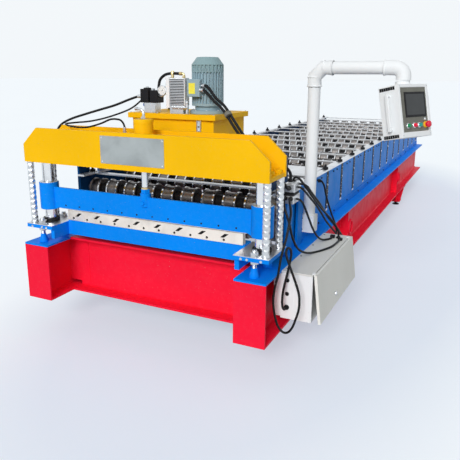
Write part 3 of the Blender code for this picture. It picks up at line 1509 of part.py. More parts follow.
def centre_on_footprint():
    """Moves the whole machine so that its box, without cords, is centred on X = 0 and Y = 0."""
    bpy.context.view_layer.update()
    corners = [
        item.matrix_world @ vertex.co
        for item in bpy.data.objects
        if item.type == "MESH"
        for vertex in item.data.vertices
    ]
    middle = [(min(c[i] for c in corners) + max(c[i] for c in corners)) / 2 for i in (0, 1)]
    for item in bpy.data.objects:
        if item.parent is None:
            item.location.x -= middle[0]
            item.location.y -= middle[1]
    bpy.context.view_layer.update()
    return middle


FOOTPRINT_MIDDLE = centre_on_footprint()
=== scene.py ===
# Looks of the roll forming machine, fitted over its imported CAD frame.
# Pieces are built in machine coordinates: X from the middle plane, Y from the front ends of the
# base beams, Z above the tops of the base beams. ORIGIN moves them into the frame.
from math import cos, pi, radians, sin

import bmesh
import bpy
from mathutils import Matrix, Vector


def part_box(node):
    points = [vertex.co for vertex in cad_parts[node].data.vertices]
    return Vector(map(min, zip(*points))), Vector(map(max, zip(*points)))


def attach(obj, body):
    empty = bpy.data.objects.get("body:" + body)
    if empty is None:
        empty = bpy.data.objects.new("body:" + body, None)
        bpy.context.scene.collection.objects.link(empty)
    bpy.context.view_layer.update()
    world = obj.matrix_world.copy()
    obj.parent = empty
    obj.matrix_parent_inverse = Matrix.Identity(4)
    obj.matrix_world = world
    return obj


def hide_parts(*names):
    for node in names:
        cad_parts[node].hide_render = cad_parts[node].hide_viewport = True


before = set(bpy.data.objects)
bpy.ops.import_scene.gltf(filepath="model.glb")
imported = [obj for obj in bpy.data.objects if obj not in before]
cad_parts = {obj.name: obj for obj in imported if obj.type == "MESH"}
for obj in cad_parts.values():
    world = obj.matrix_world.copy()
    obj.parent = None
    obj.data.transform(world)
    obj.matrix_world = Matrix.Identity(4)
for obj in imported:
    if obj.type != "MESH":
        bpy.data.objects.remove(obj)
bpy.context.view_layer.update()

BEAM_LOW, BEAM_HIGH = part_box("left_base_beam")
TOP_LOW, TOP_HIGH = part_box("top_beam")
ORIGIN = Vector(((TOP_LOW[0] + TOP_HIGH[0]) / 2, BEAM_LOW[1], BEAM_HIGH[2]))
FRAME_BODY = "machine_frame"
GAP = 0.0003
SIDES = (("left", -1), ("right", 1))


def sided(side, near, far):
    return sorted((side * near, side * far))


def placed(name, data):
    """A new object in the scene."""
    made = bpy.data.objects.new(name, data)
    bpy.context.collection.objects.link(made)
    return made


# Camera at the photograph's viewing angle
LENS = 42.86
CAMERA_PLACE = Vector((1.921, -2.659, 1.122))
CAMERA_YAW = radians(25.81)
CAMERA_PITCH = radians(14.17)
CAMERA_ROLL = radians(0.24)
SHIFT_X = 0.0124
SHIFT_Y = -0.0361
VIEW_END = 1000


def make_camera():
    data = bpy.data.cameras.new("camera")
    data.lens = LENS
    data.shift_x = SHIFT_X
    data.shift_y = SHIFT_Y
    data.clip_end = VIEW_END
    camera = placed("camera", data)
    turn = Matrix.Rotation(CAMERA_YAW, 4, "Z") @ Matrix.Rotation(pi / 2 - CAMERA_PITCH, 4, "X")
    roll = Matrix.Rotation(CAMERA_ROLL, 4, "Z")
    camera.matrix_world = Matrix.Translation(CAMERA_PLACE + ORIGIN) @ turn @ roll
    bpy.context.scene.camera = camera


make_camera()

# Materials
# How strongly inner faces near the middle plane are darkened: painted shade.
INNER_SHADE = 0.9


def started(name):
    made = bpy.data.materials.new(name)
    made.use_nodes = True
    return made, made.node_tree, made.node_tree.nodes["Principled BSDF"]


def shader_node(tree, kind, operation=None, **linked):
    """A new shader node, with the sockets given by name linked into its inputs."""
    made = tree.nodes.new("ShaderNode" + kind)
    if operation:
        made.operation = operation
    for name, source in linked.items():
        tree.links.new(source, made.inputs[name])
    return made


def noise(tree, scale, detail=4.0, stretch=(1, 1, 1), distortion=0.0):
    """A noise texture in object coordinates, stretched along an axis if asked."""
    mapping = shader_node(tree, "Mapping", Vector=shader_node(tree, "TexCoord").outputs["Object"])
    mapping.inputs["Scale"].default_value = stretch
    made = shader_node(tree, "TexNoise", Vector=mapping.outputs["Vector"])
    made.inputs["Scale"].default_value = scale
    made.inputs["Detail"].default_value = detail
    made.inputs["Distortion"].default_value = distortion
    return made.outputs["Fac"]


def ramp(tree, source, stops):
    """Maps a value to colours. Each stop is (position, colour)."""
    made = shader_node(tree, "ValToRGB", Fac=source)
    points = made.color_ramp.elements
    while len(points) < len(stops):
        points.new(0.5)
    for point, (position, colour) in zip(points, stops):
        point.position = position
        point.color = (*colour, 1.0)
    return made.outputs["Color"]


def grey(level):
    return (level, level, level)


def scaled(colour, factor):
    return tuple(min(1.0, c * factor) for c in colour)


def mixed(tree, factor, first, colour):
    """The first socket's colour turned towards a plain colour by a factor socket."""
    made = shader_node(tree, "Mix")
    made.data_type = "RGBA"
    factor_in, first_in, colour_in = made.inputs[0], made.inputs[6], made.inputs[7]
    tree.links.new(factor, factor_in)
    tree.links.new(first, first_in)
    colour_in.default_value = (*colour, 1.0)
    return made.outputs[2]


def bump(tree, height, strength, distance=0.001):
    made = shader_node(tree, "Bump", Height=height)
    made.inputs["Strength"].default_value = strength
    made.inputs["Distance"].default_value = distance
    return made.outputs["Normal"]


def inner_shade_share(tree, reach):
    """The share of painted shade on inner faces nearer the middle plane than reach, and 0 outside it."""
    split = shader_node(tree, "SeparateXYZ", Vector=shader_node(tree, "TexCoord").outputs["Object"])
    value = split.outputs["X"]
    sums = (("SUBTRACT", ORIGIN.x), ("ABSOLUTE", 0.0), ("LESS_THAN", reach), ("MULTIPLY", INNER_SHADE))
    for operation, amount in sums:
        step = shader_node(tree, "Math", operation)
        step.inputs[1].default_value = amount
        tree.links.new(value, step.inputs[0])
        value = step.outputs[0]
    return value


def paint(name, colour, rough=0.42, gloss=0.08, cloud=0.04, worn=(0.42, 0.4, 0.38), inside=None):
    """Sprayed machine paint: faint clouds, dust, small chips and orange peel.

    Inside is how far from the middle plane the colour is darkened, as painted shade on inner faces.
    """
    made, tree, shader = started(name)
    shades = ramp(
        tree, noise(tree, 1.9, 5.0), [(0.35, scaled(colour, 1 - cloud)), (0.65, scaled(colour, 1 + cloud))]
    )
    dust = ramp(tree, noise(tree, 42.0, 6.0), [(0.45, grey(0.0)), (0.8, grey(0.035))])
    dusty = mixed(tree, dust, shades, tuple(min(1.0, 0.6 * c + 0.3) for c in colour))
    chips = ramp(tree, noise(tree, 130.0, 3.0), [(0.715, grey(0.0)), (0.745, grey(0.55))])
    coloured = mixed(tree, chips, dusty, worn)
    # Painted shade: inner faces near the middle plane turn towards a tenth of the colour.
    if inside:
        coloured = mixed(tree, inner_shade_share(tree, inside), coloured, scaled(colour, 0.1))
    tree.links.new(coloured, shader.inputs["Base Color"])
    sheen = ramp(tree, noise(tree, 9.0, 4.0), [(0.3, grey(rough * 0.85)), (0.7, grey(rough * 1.25))])
    tree.links.new(sheen, shader.inputs["Roughness"])
    tree.links.new(bump(tree, noise(tree, 320.0, 2.0), 0.05, 0.0005), shader.inputs["Normal"])
    shader.inputs["Specular IOR Level"].default_value = gloss
    return made


def metal(name, colour, rough=0.25, grain=(1, 1, 1), grain_scale=90.0, depth=0.1, stain=0.18):
    """Bare or plated metal with machining marks, smudges and uneven gloss."""
    made, tree, shader = started(name)
    stops = [(0.3, scaled(colour, 1.0 - stain)), (0.55, colour), (0.75, scaled(colour, 1.06))]
    tree.links.new(ramp(tree, noise(tree, 7.0, 5.0, distortion=0.4), stops), shader.inputs["Base Color"])
    shader.inputs["Metallic"].default_value = 1.0
    lines = noise(tree, grain_scale, 3.0, grain)
    sheen = ramp(tree, lines, [(0.25, grey(rough * 0.7)), (0.75, grey(rough * 1.4))])
    tree.links.new(sheen, shader.inputs["Roughness"])
    tree.links.new(bump(tree, lines, depth), shader.inputs["Normal"])
    return made


def plastic(name, colour, rough=0.45, grain_depth=0.1, gloss=0.35):
    """Moulded plastic, rubber or glass with a fine grain and faint handling marks."""
    made, tree, shader = started(name)
    stops = [(0.3, scaled(colour, 0.86)), (0.7, scaled(colour, 1.14))]
    tree.links.new(ramp(tree, noise(tree, 14.0, 5.0), stops), shader.inputs["Base Color"])
    sheen = ramp(tree, noise(tree, 30.0, 3.0), [(0.3, grey(rough * 0.85)), (0.7, grey(rough * 1.2))])
    tree.links.new(sheen, shader.inputs["Roughness"])
    tree.links.new(bump(tree, noise(tree, 420.0, 2.0), grain_depth, 0.0004), shader.inputs["Normal"])
    shader.inputs["Specular IOR Level"].default_value = gloss
    return made


RED = paint("red_machine_paint", (0.92, 0.01, 0.042))
BLUE = paint("blue_machine_paint", (0.0, 0.25, 0.9))
# Side walls and stand are darker than the machine blue, and darker still on their inner faces: painted
# shade.
SHADED_WALL_BLUE = paint("side_wall_paint_shaded", (0.0, 0.23, 0.78), inside=0.799)
SHADED_STAND_BLUE = paint("stand_paint_shaded", (0.0, 0.2, 0.68), inside=0.81)
YELLOW = paint("yellow_machine_paint", (0.96, 0.53, 0.003))
WHITE = paint("white_powder_coat", (0.86, 0.88, 0.89), cloud=0.02)
BEIGE = paint("beige_powder_coat", (0.84, 0.84, 0.79), rough=0.5, cloud=0.03)
ROOF_GREY = paint("grey_roof_coat", (0.74, 0.74, 0.71), rough=0.5, cloud=0.03)
MOTOR = paint("motor_green_grey", (0.31, 0.43, 0.48), rough=0.4)
COWL = paint("cowl_green_grey", (0.26, 0.38, 0.4), rough=0.36)
CHROME = metal("hard_chrome", (0.82, 0.83, 0.85), rough=0.16, depth=0.05)
STEEL = metal("ground_steel", (0.74, 0.75, 0.77), rough=0.34, grain=(0.4, 8, 8))
PALE_STEEL = metal("pale_blade_steel", (0.86, 0.79, 0.72), rough=0.45, grain=(0.3, 9, 9))
PLATE_STEEL = metal(
    "brushed_plate_steel", (0.42, 0.45, 0.45), rough=0.42, grain=(0.3, 14, 14)
)
# Roller steel kept dark: painted shade deep inside the machine.
SHADED_ROLLER_STEEL = metal("roller_steel_shaded", (0.24, 0.22, 0.21), rough=0.34, stain=0.3)
ZINC = metal("zinc_plated_steel", (0.66, 0.68, 0.7), rough=0.3)
BRASS = metal("brass_fitting", (0.72, 0.58, 0.3), rough=0.28)
DARK_IRON = metal("worn_dark_steel", (0.19, 0.19, 0.2), rough=0.45, stain=0.35)
BLACK_STEEL = plastic("black_oxide_steel", (0.014, 0.014, 0.016), rough=0.5, gloss=0.15)
RUBBER = plastic("black_hose_rubber", (0.006, 0.006, 0.007), rough=0.45, gloss=0.2)
BLACK = plastic("black_plastic", (0.01, 0.01, 0.012), rough=0.45, gloss=0.15)
SCREEN = plastic("screen_glass", (0.03, 0.034, 0.036), rough=0.1, grain_depth=0.0)
GREY_PANEL = plastic("grey_panel", (0.175, 0.175, 0.15), rough=0.55, gloss=0.2)
GREEN_CAP = plastic("green_button_cap", (0.01, 0.24, 0.09), rough=0.3)
TURQUOISE_CAP = plastic("turquoise_button_cap", (0.02, 0.3, 0.26), rough=0.3)
RED_CAP = plastic("red_button_cap", (0.75, 0.012, 0.05), rough=0.3)
YELLOW_CAP = plastic("yellow_collar", (0.88, 0.48, 0.02), rough=0.35)
BLUE_CAP = plastic("blue_knob", (0.01, 0.13, 0.62), rough=0.3)
DIAL = plastic("dial_face", (0.82, 0.83, 0.82), rough=0.35, grain_depth=0.02)
LEVEL_GLASS = plastic("level_glass", (0.55, 0.7, 0.82), rough=0.12, grain_depth=0.0)
LABEL = plastic("bare_yellow_plate", (0.96, 0.84, 0.08), rough=0.4)


# Shapes. Each is a list of (rings of points, closed on itself), skinned when a piece is made.
def place(axis, u, v, w):
    if axis == "X":
        return Vector((w, u, v))
    if axis == "Y":
        return Vector((u, w, v))
    return Vector((u, v, w))


def prism(axis, outline, low, high):
    return [([[place(axis, u, v, w) for u, v in outline] for w in (low, high)], False)]


def box(low, high):
    return prism("Z", rectangle(*low[:2], *high[:2]), low[2], high[2])


def side_box(side, x, y, z):
    """A box from its spans, on the left side of the machine for side -1."""
    near, far = sided(side, *x)
    return box((near, y[0], z[0]), (far, y[1], z[1]))


def rectangle(u0, v0, u1, v1):
    return [(u0, v0), (u1, v0), (u1, v1), (u0, v1)]


def stacked(axis, *levels):
    """Outlines with the same number of points, each at its own level, skinned in order."""
    return [([[place(axis, u, v, w) for u, v in outline] for w, outline in levels], False)]


def around(u, v, radius, count, start=0.0):
    """Evenly spaced places on a circle. Start is the first one's angle in degrees."""
    angles = [radians(start) + 2 * pi * i / count for i in range(count)]
    return [(u + radius * cos(a), v + radius * sin(a)) for a in angles]


def turned(axis, u, v, profile, sides=32, closed=False):
    """A profile of (distance along the axis, radius) turned about the axis."""
    return [([[place(axis, a, b, w) for a, b in around(u, v, r, sides)] for w, r in profile], closed)]


def cylinder(axis, u, v, radius, low, high, sides=32, edge=0.0):
    """A cylinder, with its rims broken by a small edge if asked."""
    if not edge:
        return turned(axis, u, v, [(low, radius), (high, radius)], sides)
    profile = [(low, radius - edge), (low + edge, radius), (high - edge, radius), (high, radius - edge)]
    return turned(axis, u, v, profile, sides)


def hexagon(axis, u, v, radius, low, high):
    """A hexagon head or nut with chamfered corners."""
    edge = min(radius, abs(high - low)) * 0.12 * (1 if high > low else -1)
    return turned(axis, u, v, [(low, radius), (high - edge, radius), (high, radius - abs(edge))], 6)


def bolt(axis, u, v, w, size, up=1):
    """A hexagon bolt head on a washer. Size is the thread's diameter, up the side it faces."""
    washer = turned(axis, u, v, [(w - up * size * 0.2, size), (w + up * size * 0.18, size)], 16)
    profile = [(w, size * 0.85), (w + up * size * 0.7, size * 0.85), (w + up * size * 0.8, size * 0.7)]
    return washer + turned(axis, u, v, profile, 6)


def tube(points, radius, sides=16):
    """A round tube along a path of points. Radius may be a list, one for each point."""
    points = [Vector(p) for p in points]
    radii = radius if isinstance(radius, list) else [radius] * len(points)
    rings = []
    side = None
    for i, (point, size) in enumerate(zip(points, radii)):
        ahead = (points[min(i + 1, len(points) - 1)] - points[max(i - 1, 0)]).normalized()
        side = side or ahead.orthogonal()
        side = (side - ahead * side.dot(ahead)).normalized()
        other = ahead.cross(side)
        turns = [2 * pi * k / sides for k in range(sides)]
        rings.append([point + size * (cos(a) * side + sin(a) * other) for a in turns])
    return [(rings, False)]


def torus(axis, u, v, w, radius, wire, steps=40, sides=12):
    rings = []
    for i in range(steps):
        angle = 2 * pi * i / steps
        ring = []
        for k in range(sides):
            out = radius + wire * cos(2 * pi * k / sides)
            up = wire * sin(2 * pi * k / sides)
            ring.append(place(axis, u + out * cos(angle), v + out * sin(angle), w + up))
        rings.append(ring)
    return [(rings, True)]


def thread(low, high, radius, pitch=0.007, depth=0.1):
    """The profile of a screw thread, drawn as fine rings."""
    count = max(1, round((high - low) / pitch))
    step = (high - low) / count
    profile = [(low, radius * (1 - depth))]
    for i in range(count):
        profile += [(low + (i + 0.5) * step, radius), (low + (i + 1) * step, radius * (1 - depth))]
    return profile


def twisted(u, v, low, high, radius, pitch=0.036, depth=0.2, starts=3, sides=24):
    """An upright bar with coarse spiral grooves that cross in a diamond pattern."""
    rings = []
    levels = round((high - low) / pitch * 10)
    for i in range(levels + 1):
        z = low + (high - low) * i / levels
        ring = []
        for k in range(sides):
            angle = 2 * pi * k / sides
            wave = max(cos(starts * angle + 2 * pi * z / pitch * s) for s in (-1, 1))
            size = radius * (1 - depth * (0.5 - 0.5 * wave))
            ring.append(Vector((u + size * cos(angle), v + size * sin(angle), z)))
        rings.append(ring)
    return [(rings, False)]


def arc(u, v, radius, start, end, steps=4):
    angles = [radians(start + (end - start) * i / steps) for i in range(steps + 1)]
    return [(u + radius * cos(a), v + radius * sin(a)) for a in angles]


def skinned(name, shapes):
    """A mesh with every shape's rings joined by faces and its ends capped."""
    bm = bmesh.new()
    for rings, closed in shapes:
        rows = [[bm.verts.new(point) for point in ring] for ring in rings]
        if closed:
            rows.append(rows[0])
        for a, b in zip(rows, rows[1:]):
            for k in range(len(a)):
                bm.faces.new((a[k - 1], a[k], b[k], b[k - 1]))
        if not closed:
            bm.faces.new(list(reversed(rows[0])))
            bm.faces.new(rows[-1])
    bmesh.ops.recalc_face_normals(bm, faces=bm.faces)
    mesh = bpy.data.meshes.new(name)
    bm.to_mesh(mesh)
    bm.free()
    return mesh


def carved(mesh, cutters):
    """The mesh with the cutters' shapes taken out of it."""
    solid = placed("solid", mesh)
    tool = placed("tool", skinned("tool", cutters))
    taken = solid.modifiers.new("cut", "BOOLEAN")
    taken.object = tool
    taken.solver = "EXACT"
    bpy.context.view_layer.update()
    ready = solid.evaluated_get(bpy.context.evaluated_depsgraph_get())
    result = bpy.data.meshes.new_from_object(ready)
    result.name = mesh.name
    for made in (solid, tool):
        bpy.data.objects.remove(made)
    return result


def soften(made, width, angle=35.0, segments=2):
    edge = made.modifiers.new("edge", "BEVEL")
    edge.width = width
    edge.segments = segments
    edge.limit_method = "ANGLE"
    edge.angle_limit = radians(angle)
    edge.harden_normals = True


def piece(name, finish, *shapes, body=FRAME_BODY, replaces=(), cut=(), bevel=0.0, angle=35.0, to_frame=None):
    """Turns shapes into a piece on a body, with its edges bevelled if asked."""
    mesh = skinned(name, [part for shape in shapes for part in shape])
    if cut:
        mesh = carved(mesh, cut)
    mesh.transform(to_frame or Matrix.Translation(ORIGIN))
    mesh.shade_smooth()
    mesh.set_sharp_from_angle(angle=radians(angle))
    mesh.materials.append(finish)
    made = placed(name, mesh)
    if bevel:
        soften(made, bevel, angle)
    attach(made, body)
    if replaces:
        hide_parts(*replaces)
    return made


def keep(finish, *nodes):
    """Gives kept CAD nodes their finish and soft edges, without touching their meshes."""
    for name in nodes:
        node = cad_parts[name]
        node.data.materials[0] = finish
        soften(node, 0.0014)


# Hoses and cables come first: those the CAD has, then the ones that only show in the scene
HOSE = 0.016
SMALL_HOSE = 0.012
CABLE = 0.014
MOTOR_CABLE = 0.018
CORD_POINTS = 36
WIDEST_STEP = 0.034

CORDS = {
    "hose_left": (HOSE, "medium", [
        (-0.2403, 0.52, 0.98), (-0.268, 0.52, 0.98), (-0.335, 0.5, 0.957), (-0.433, 0.47, 0.918),
        (-0.54, 0.44, 0.886), (-0.649, 0.41, 0.853), (-0.75, 0.39, 0.821), (-0.835, 0.382, 0.782),
        (-0.888, 0.388, 0.73), (-0.91, 0.42, 0.655), (-0.905, 0.49, 0.575), (-0.865, 0.565, 0.52),
        (-0.8266, 0.565, 0.52),
    ]),
    "hose_press": (SMALL_HOSE, "medium", [
        (-0.2403, 0.556, 0.955), (-0.265, 0.556, 0.955), (-0.34, 0.515, 0.893), (-0.463, 0.44, 0.84),
        (-0.58, 0.385, 0.81), (-0.665, 0.325, 0.801), (-0.675, 0.24, 0.798), (-0.59, 0.19, 0.79),
        (-0.45, 0.17, 0.79), (-0.33, 0.17, 0.818), (-0.24, 0.17, 0.85), (-0.165, 0.17, 0.844),
        (-0.14, 0.17, 0.805), (-0.14, 0.17, 0.7753),
    ]),
    "cable_to_cabinet": (CABLE, "limp", [
        (0.8656, 0.4975, 0.5003), (0.8656, 0.4975, 0.508), (0.876, 0.497, 0.519), (0.897, 0.495, 0.516),
        (0.922, 0.5, 0.49), (0.938, 0.54, 0.445), (0.948, 0.68, 0.352), (0.955, 0.85, 0.25),
        (0.975, 0.98, 0.165), (1.005, 1.04, 0.095), (1.025, 1.06, 0.045), (1.025, 1.06, 0.0143),
    ]),
    "cable_on_cabinet": (CABLE, "limp", [
        (0.85, 0.3997, 0.405), (0.85, 0.375, 0.405), (0.87, 0.335, 0.36), (0.905, 0.32, 0.28),
        (0.92, 0.35, 0.18), (0.93, 0.43, 0.09), (0.945, 0.54, 0.033), (0.97, 0.64, 0.0095),
        (1.012, 0.725, 0.009), (1.042, 0.82, 0.009), (1.05, 0.93, 0.009), (1.05, 0.9997, 0.009),
    ]),
    "cable_on_wall": (CABLE, "limp", [
        (0.8003, 1.275, 0.36), (0.82, 1.275, 0.36), (0.838, 1.3, 0.32), (0.842, 1.35, 0.24),
        (0.848, 1.43, 0.14), (0.86, 1.47, 0.07), (0.885, 1.455, 0.026), (0.925, 1.38, -0.01),
        (0.958, 1.29, -0.06), (0.98, 1.215, -0.092), (0.991, 1.18, -0.1), (0.991, 1.1503, -0.1),
    ]),
    "cable_loop": (CABLE, "limp", [
        (0.885, 0.3997, 0.405), (0.885, 0.375, 0.405), (0.905, 0.325, 0.388), (0.93, 0.275, 0.35),
        (0.936, 0.235, 0.295), (0.931, 0.2, 0.21), (0.917, 0.17, 0.115), (0.911, 0.15, 0.032),
        (0.905, 0.148, -0.01), (0.891, 0.149, -0.072), (0.882, 0.15, -0.155), (0.894, 0.15, -0.245),
        (0.914, 0.15, -0.306), (0.938, 0.15, -0.336), (0.959, 0.15, -0.344), (0.98, 0.15, -0.336),
        (1.003, 0.15, -0.304), (1.022, 0.15, -0.25), (1.04, 0.15, -0.175), (1.038, 0.15, -0.095),
        (1.016, 0.15, -0.025), (0.982, 0.149, 0.06),
        (0.957, 0.148, 0.126), (0.95, 0.156, 0.153), (0.953, 0.177, 0.168), (0.96, 0.199, 0.157),
        (0.963, 0.209, 0.128), (0.954, 0.21, 0.055), (0.935, 0.206, -0.04), (0.924, 0.196, -0.12),
        (0.925, 0.187, -0.175), (0.928, 0.19, -0.205), (0.931, 0.202, -0.221), (0.9323, 0.218, -0.226),
        (0.9323, 0.2357, -0.226),
    ]),
}
THIN_CORDS = {
    "motor_cable_1": (MOTOR_CABLE, "medium", [
        (0.2203, 0.53, 1.056), (0.245, 0.53, 1.056), (0.29, 0.505, 1.027), (0.343, 0.48, 0.981),
        (0.401, 0.465, 0.942), (0.451, 0.45, 0.892), (0.51, 0.43, 0.825), (0.555, 0.41, 0.78),
        (0.61, 0.385, 0.732), (0.665, 0.368, 0.69), (0.725, 0.365, 0.65), (0.79, 0.38, 0.618),
        (0.843, 0.41, 0.59), (0.8656, 0.4325, 0.55), (0.8656, 0.4325, 0.5003),
    ]),
    "motor_cable_2": (MOTOR_CABLE, "medium", [
        (0.2203, 0.512, 1.028), (0.24, 0.512, 1.028), (0.28, 0.492, 1.003), (0.333, 0.47, 0.963),
        (0.391, 0.455, 0.924), (0.441, 0.44, 0.874), (0.5, 0.42, 0.807), (0.546, 0.402, 0.762),
        (0.604, 0.378, 0.715), (0.664, 0.36, 0.67), (0.725, 0.352, 0.622), (0.79, 0.348, 0.572),
        (0.845, 0.345, 0.52), (0.871, 0.362, 0.477), (0.871, 0.3997, 0.467),
    ]),
    "wall_cable_1": (CABLE, "limp", [
        (0.9053, 0.465, 0.467), (0.922, 0.468, 0.464), (0.935, 0.5, 0.44), (0.937, 0.6, 0.385),
        (0.938, 0.74, 0.306), (0.94, 0.88, 0.218), (0.942, 1.01, 0.13), (0.948, 1.13, 0.055),
        (0.96, 1.24, -0.02), (0.972, 1.3, -0.1), (0.982, 1.28, -0.18), (0.99, 1.215, -0.214),
        (0.992, 1.1503, -0.215),
    ]),
    "wall_cable_3": (CABLE, "limp", [
        (0.9053, 0.5, 0.48), (0.925, 0.503, 0.479), (0.944, 0.53, 0.461), (0.95, 0.62, 0.402),
        (0.952, 0.76, 0.322), (0.954, 0.9, 0.232), (0.957, 1.03, 0.145), (0.965, 1.15, 0.072),
        (0.98, 1.26, -0.004), (0.998, 1.335, -0.09), (1.012, 1.325, -0.185), (1.022, 1.24, -0.243),
        (1.025, 1.1503, -0.25),
    ]),
    "wall_cable_2": (CABLE, "limp", [
        (0.8993, 0.465, 0.393), (0.915, 0.467, 0.389), (0.926, 0.5, 0.366), (0.928, 0.56, 0.31),
        (0.93, 0.64, 0.23), (0.932, 0.73, 0.14), (0.936, 0.83, 0.062), (0.948, 0.905, 0.022),
        (0.965, 0.96, 0.0095), (0.985, 1.000, 0.009), (0.985, 1.0397, 0.009),
    ]),
}


def smooth_path(points, spacing):
    """Points along a smooth curve through a cord's route."""
    before = 2 * Vector(points[0]) - Vector(points[1])
    after = 2 * Vector(points[-1]) - Vector(points[-2])
    knots = [before] + [Vector(p) for p in points] + [after]
    path = [knots[1]]
    for i in range(1, len(knots) - 2):
        a, b, c, d = knots[i - 1:i + 3]
        steps = max(1, round((c - b).length / spacing))
        for step in range(1, steps + 1):
            t = step / steps
            bend = (2 * a - 5 * b + 4 * c - d) * t ** 2 + (3 * b - 3 * c + d - a) * t ** 3
            path.append(0.5 * (2 * b + (c - a) * t + bend))
    return path


def run_length(path):
    return sum((b - a).length for a, b in zip(path, path[1:]))


def make_cord(name, diameter, stiffness, route):
    step = run_length(smooth_path(route, diameter)) / CORD_POINTS
    path = smooth_path(route, min(step, WIDEST_STEP))
    curve = bpy.data.curves.new(name + "_line", "CURVE")
    curve.dimensions = "3D"
    curve.bevel_depth = diameter / 2
    curve.bevel_resolution = 4
    curve.use_fill_caps = True
    curve.resolution_u = 3
    spline = curve.splines.new("BEZIER")
    spline.bezier_points.add(len(path) - 1)
    for target, source in zip(spline.bezier_points, path):
        target.co = source + ORIGIN
        target.handle_left_type = "AUTO"
        target.handle_right_type = "AUTO"
    spline.use_smooth = True
    curve.materials.append(RUBBER)
    made = placed(name + "_line", curve)
    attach(made, FRAME_BODY)
    if name in CORDS:
        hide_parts(name)


for cord_name, cord_facts in {**CORDS, **THIN_CORDS}.items():
    make_cord(cord_name, *cord_facts)


def ferrule(start, ahead, radius, length):
    """A crimped metal sleeve on a hose's end, with a hexagon at its foot."""
    start = Vector(start)
    ahead = Vector(ahead).normalized()
    at = [start + ahead * length * share for share in (0, 0.25, 0.26, 0.4, 0.41, 0.92, 1.0)]
    return tube(at, [radius * k for k in (1.25, 1.25, 0.9, 0.9, 1.05, 1.05, 0.8)], 20)


piece(
    "hose_ferrules", ZINC,
    ferrule(CORDS["hose_left"][2][0], (-1, 0, 0), 0.0115, 0.036),
    ferrule(CORDS["hose_left"][2][-1], (-1, 0, 0), 0.0115, 0.03),
    ferrule(CORDS["hose_press"][2][0], (-1, 0, 0), 0.0095, 0.03),
    ferrule(CORDS["hose_press"][2][-1], (0, 0, 1), 0.0095, 0.03),
)
piece(
    "cable_glands", BLACK,
    ferrule(CORDS["cable_on_wall"][2][0], (1, 0, 0), 0.0115, 0.02),
    ferrule(CORDS["cable_on_wall"][2][-1], (0, 1, 0), 0.0115, 0.02),
    ferrule(THIN_CORDS["wall_cable_1"][2][-1], (0, 1, 0), 0.0115, 0.02),
    ferrule(THIN_CORDS["wall_cable_3"][2][-1], (0, 1, 0), 0.0115, 0.02),
    ferrule(CORDS["cable_on_cabinet"][2][0], (0, -1, 0), 0.011, 0.018),
    ferrule(CORDS["cable_loop"][2][0], (0, -1, 0), 0.011, 0.018),
    ferrule(THIN_CORDS["motor_cable_1"][2][-1], (0, 0, 1), 0.0115, 0.02),
    ferrule(THIN_CORDS["motor_cable_2"][2][-1], (0, -1, 0.25), 0.0115, 0.02),
    box((0.97, 1.04, GAP), (1.000, 1.066, 0.02)),
)
piece(
    "motor_cable_tie", GREY_PANEL,
    tube([(0.436, 0.45, 0.893), (0.452, 0.441, 0.876)], 0.0235, 20),
)

# Base beams with rolled fillets, blue top flanges, end plates and lifting rings
BEAM_HALF = 0.1
BEAM_CENTRE_X = 0.793
BEAM_HEIGHT = 0.4
FLANGE = 0.014
WEB_HALF = 0.005
FILLET = 0.016
LENGTH = 7.15
LIFT_YS = (2.05, 4.8)
LIFT_RADIUS = 0.062
LIFT_WIRE = 0.01
LIFT_ABOVE = 0.205
LIFT_PLATE_X = 0.866
LIFT_RING_X = 0.872


def beam_outline(centre):
    """An H-section without its top flange: lower flange, rolled fillets and web."""
    top = -FLANGE
    low = -BEAM_HEIGHT + FLANGE
    side = [(BEAM_HALF, -BEAM_HEIGHT), (BEAM_HALF, low)]
    side += arc(WEB_HALF + FILLET, low + FILLET, FILLET, 270, 180)
    side += arc(WEB_HALF + FILLET, top - FILLET, FILLET, 180, 90)
    return [(centre + u, v) for u, v in side] + [(centre - u, v) for u, v in reversed(side)]


for side_name, side in SIDES:
    centre = side * BEAM_CENTRE_X
    beam = prism("Y", beam_outline(centre), 0.009, LENGTH)
    beam += box((centre - BEAM_HALF, 0, -BEAM_HEIGHT), (centre + BEAM_HALF, 0.01, -FLANGE))
    rings = []
    for y in LIFT_YS:
        beam += side_box(side, (BEAM_CENTRE_X, LIFT_PLATE_X), (y, y + 0.012), (-BEAM_HEIGHT + 0.007, -0.01))
        rings += torus("X", y + 0.07, LIFT_ABOVE - BEAM_HEIGHT, side * LIFT_RING_X, LIFT_RADIUS, LIFT_WIRE)
    piece(side_name + "_beam", RED, beam, replaces=[side_name + "_base_beam"], bevel=0.002)
    cap = box((centre - BEAM_HALF, 0, -FLANGE), (centre + BEAM_HALF, LENGTH, 0))
    piece(side_name + "_beam_top", BLUE, cap, bevel=0.002)
    piece(side_name + "_lifting_rings", RED, rings)

keep(RED, "front_cross_beam", "cross_beam_1", "cross_beam_2", "cross_beam_3")

# Legs with screw feet
LEG_YS = {"front": 1.35, "back": 5.35}
LEG_TOP = -BEAM_HEIGHT - GAP
FLOOR = -0.67
WEB_TOP = LEG_TOP - 0.01
WEB_FOOT = FLOOR + 0.056
WEB_SIDE = 0.008


def tapered(middle, top_half, foot_half=0.06):
    """The outline of a leg's web, narrower at its foot."""
    return [
        (middle - top_half, WEB_TOP), (middle + top_half, WEB_TOP),
        (middle + foot_half, WEB_FOOT), (middle - foot_half, WEB_FOOT),
    ]


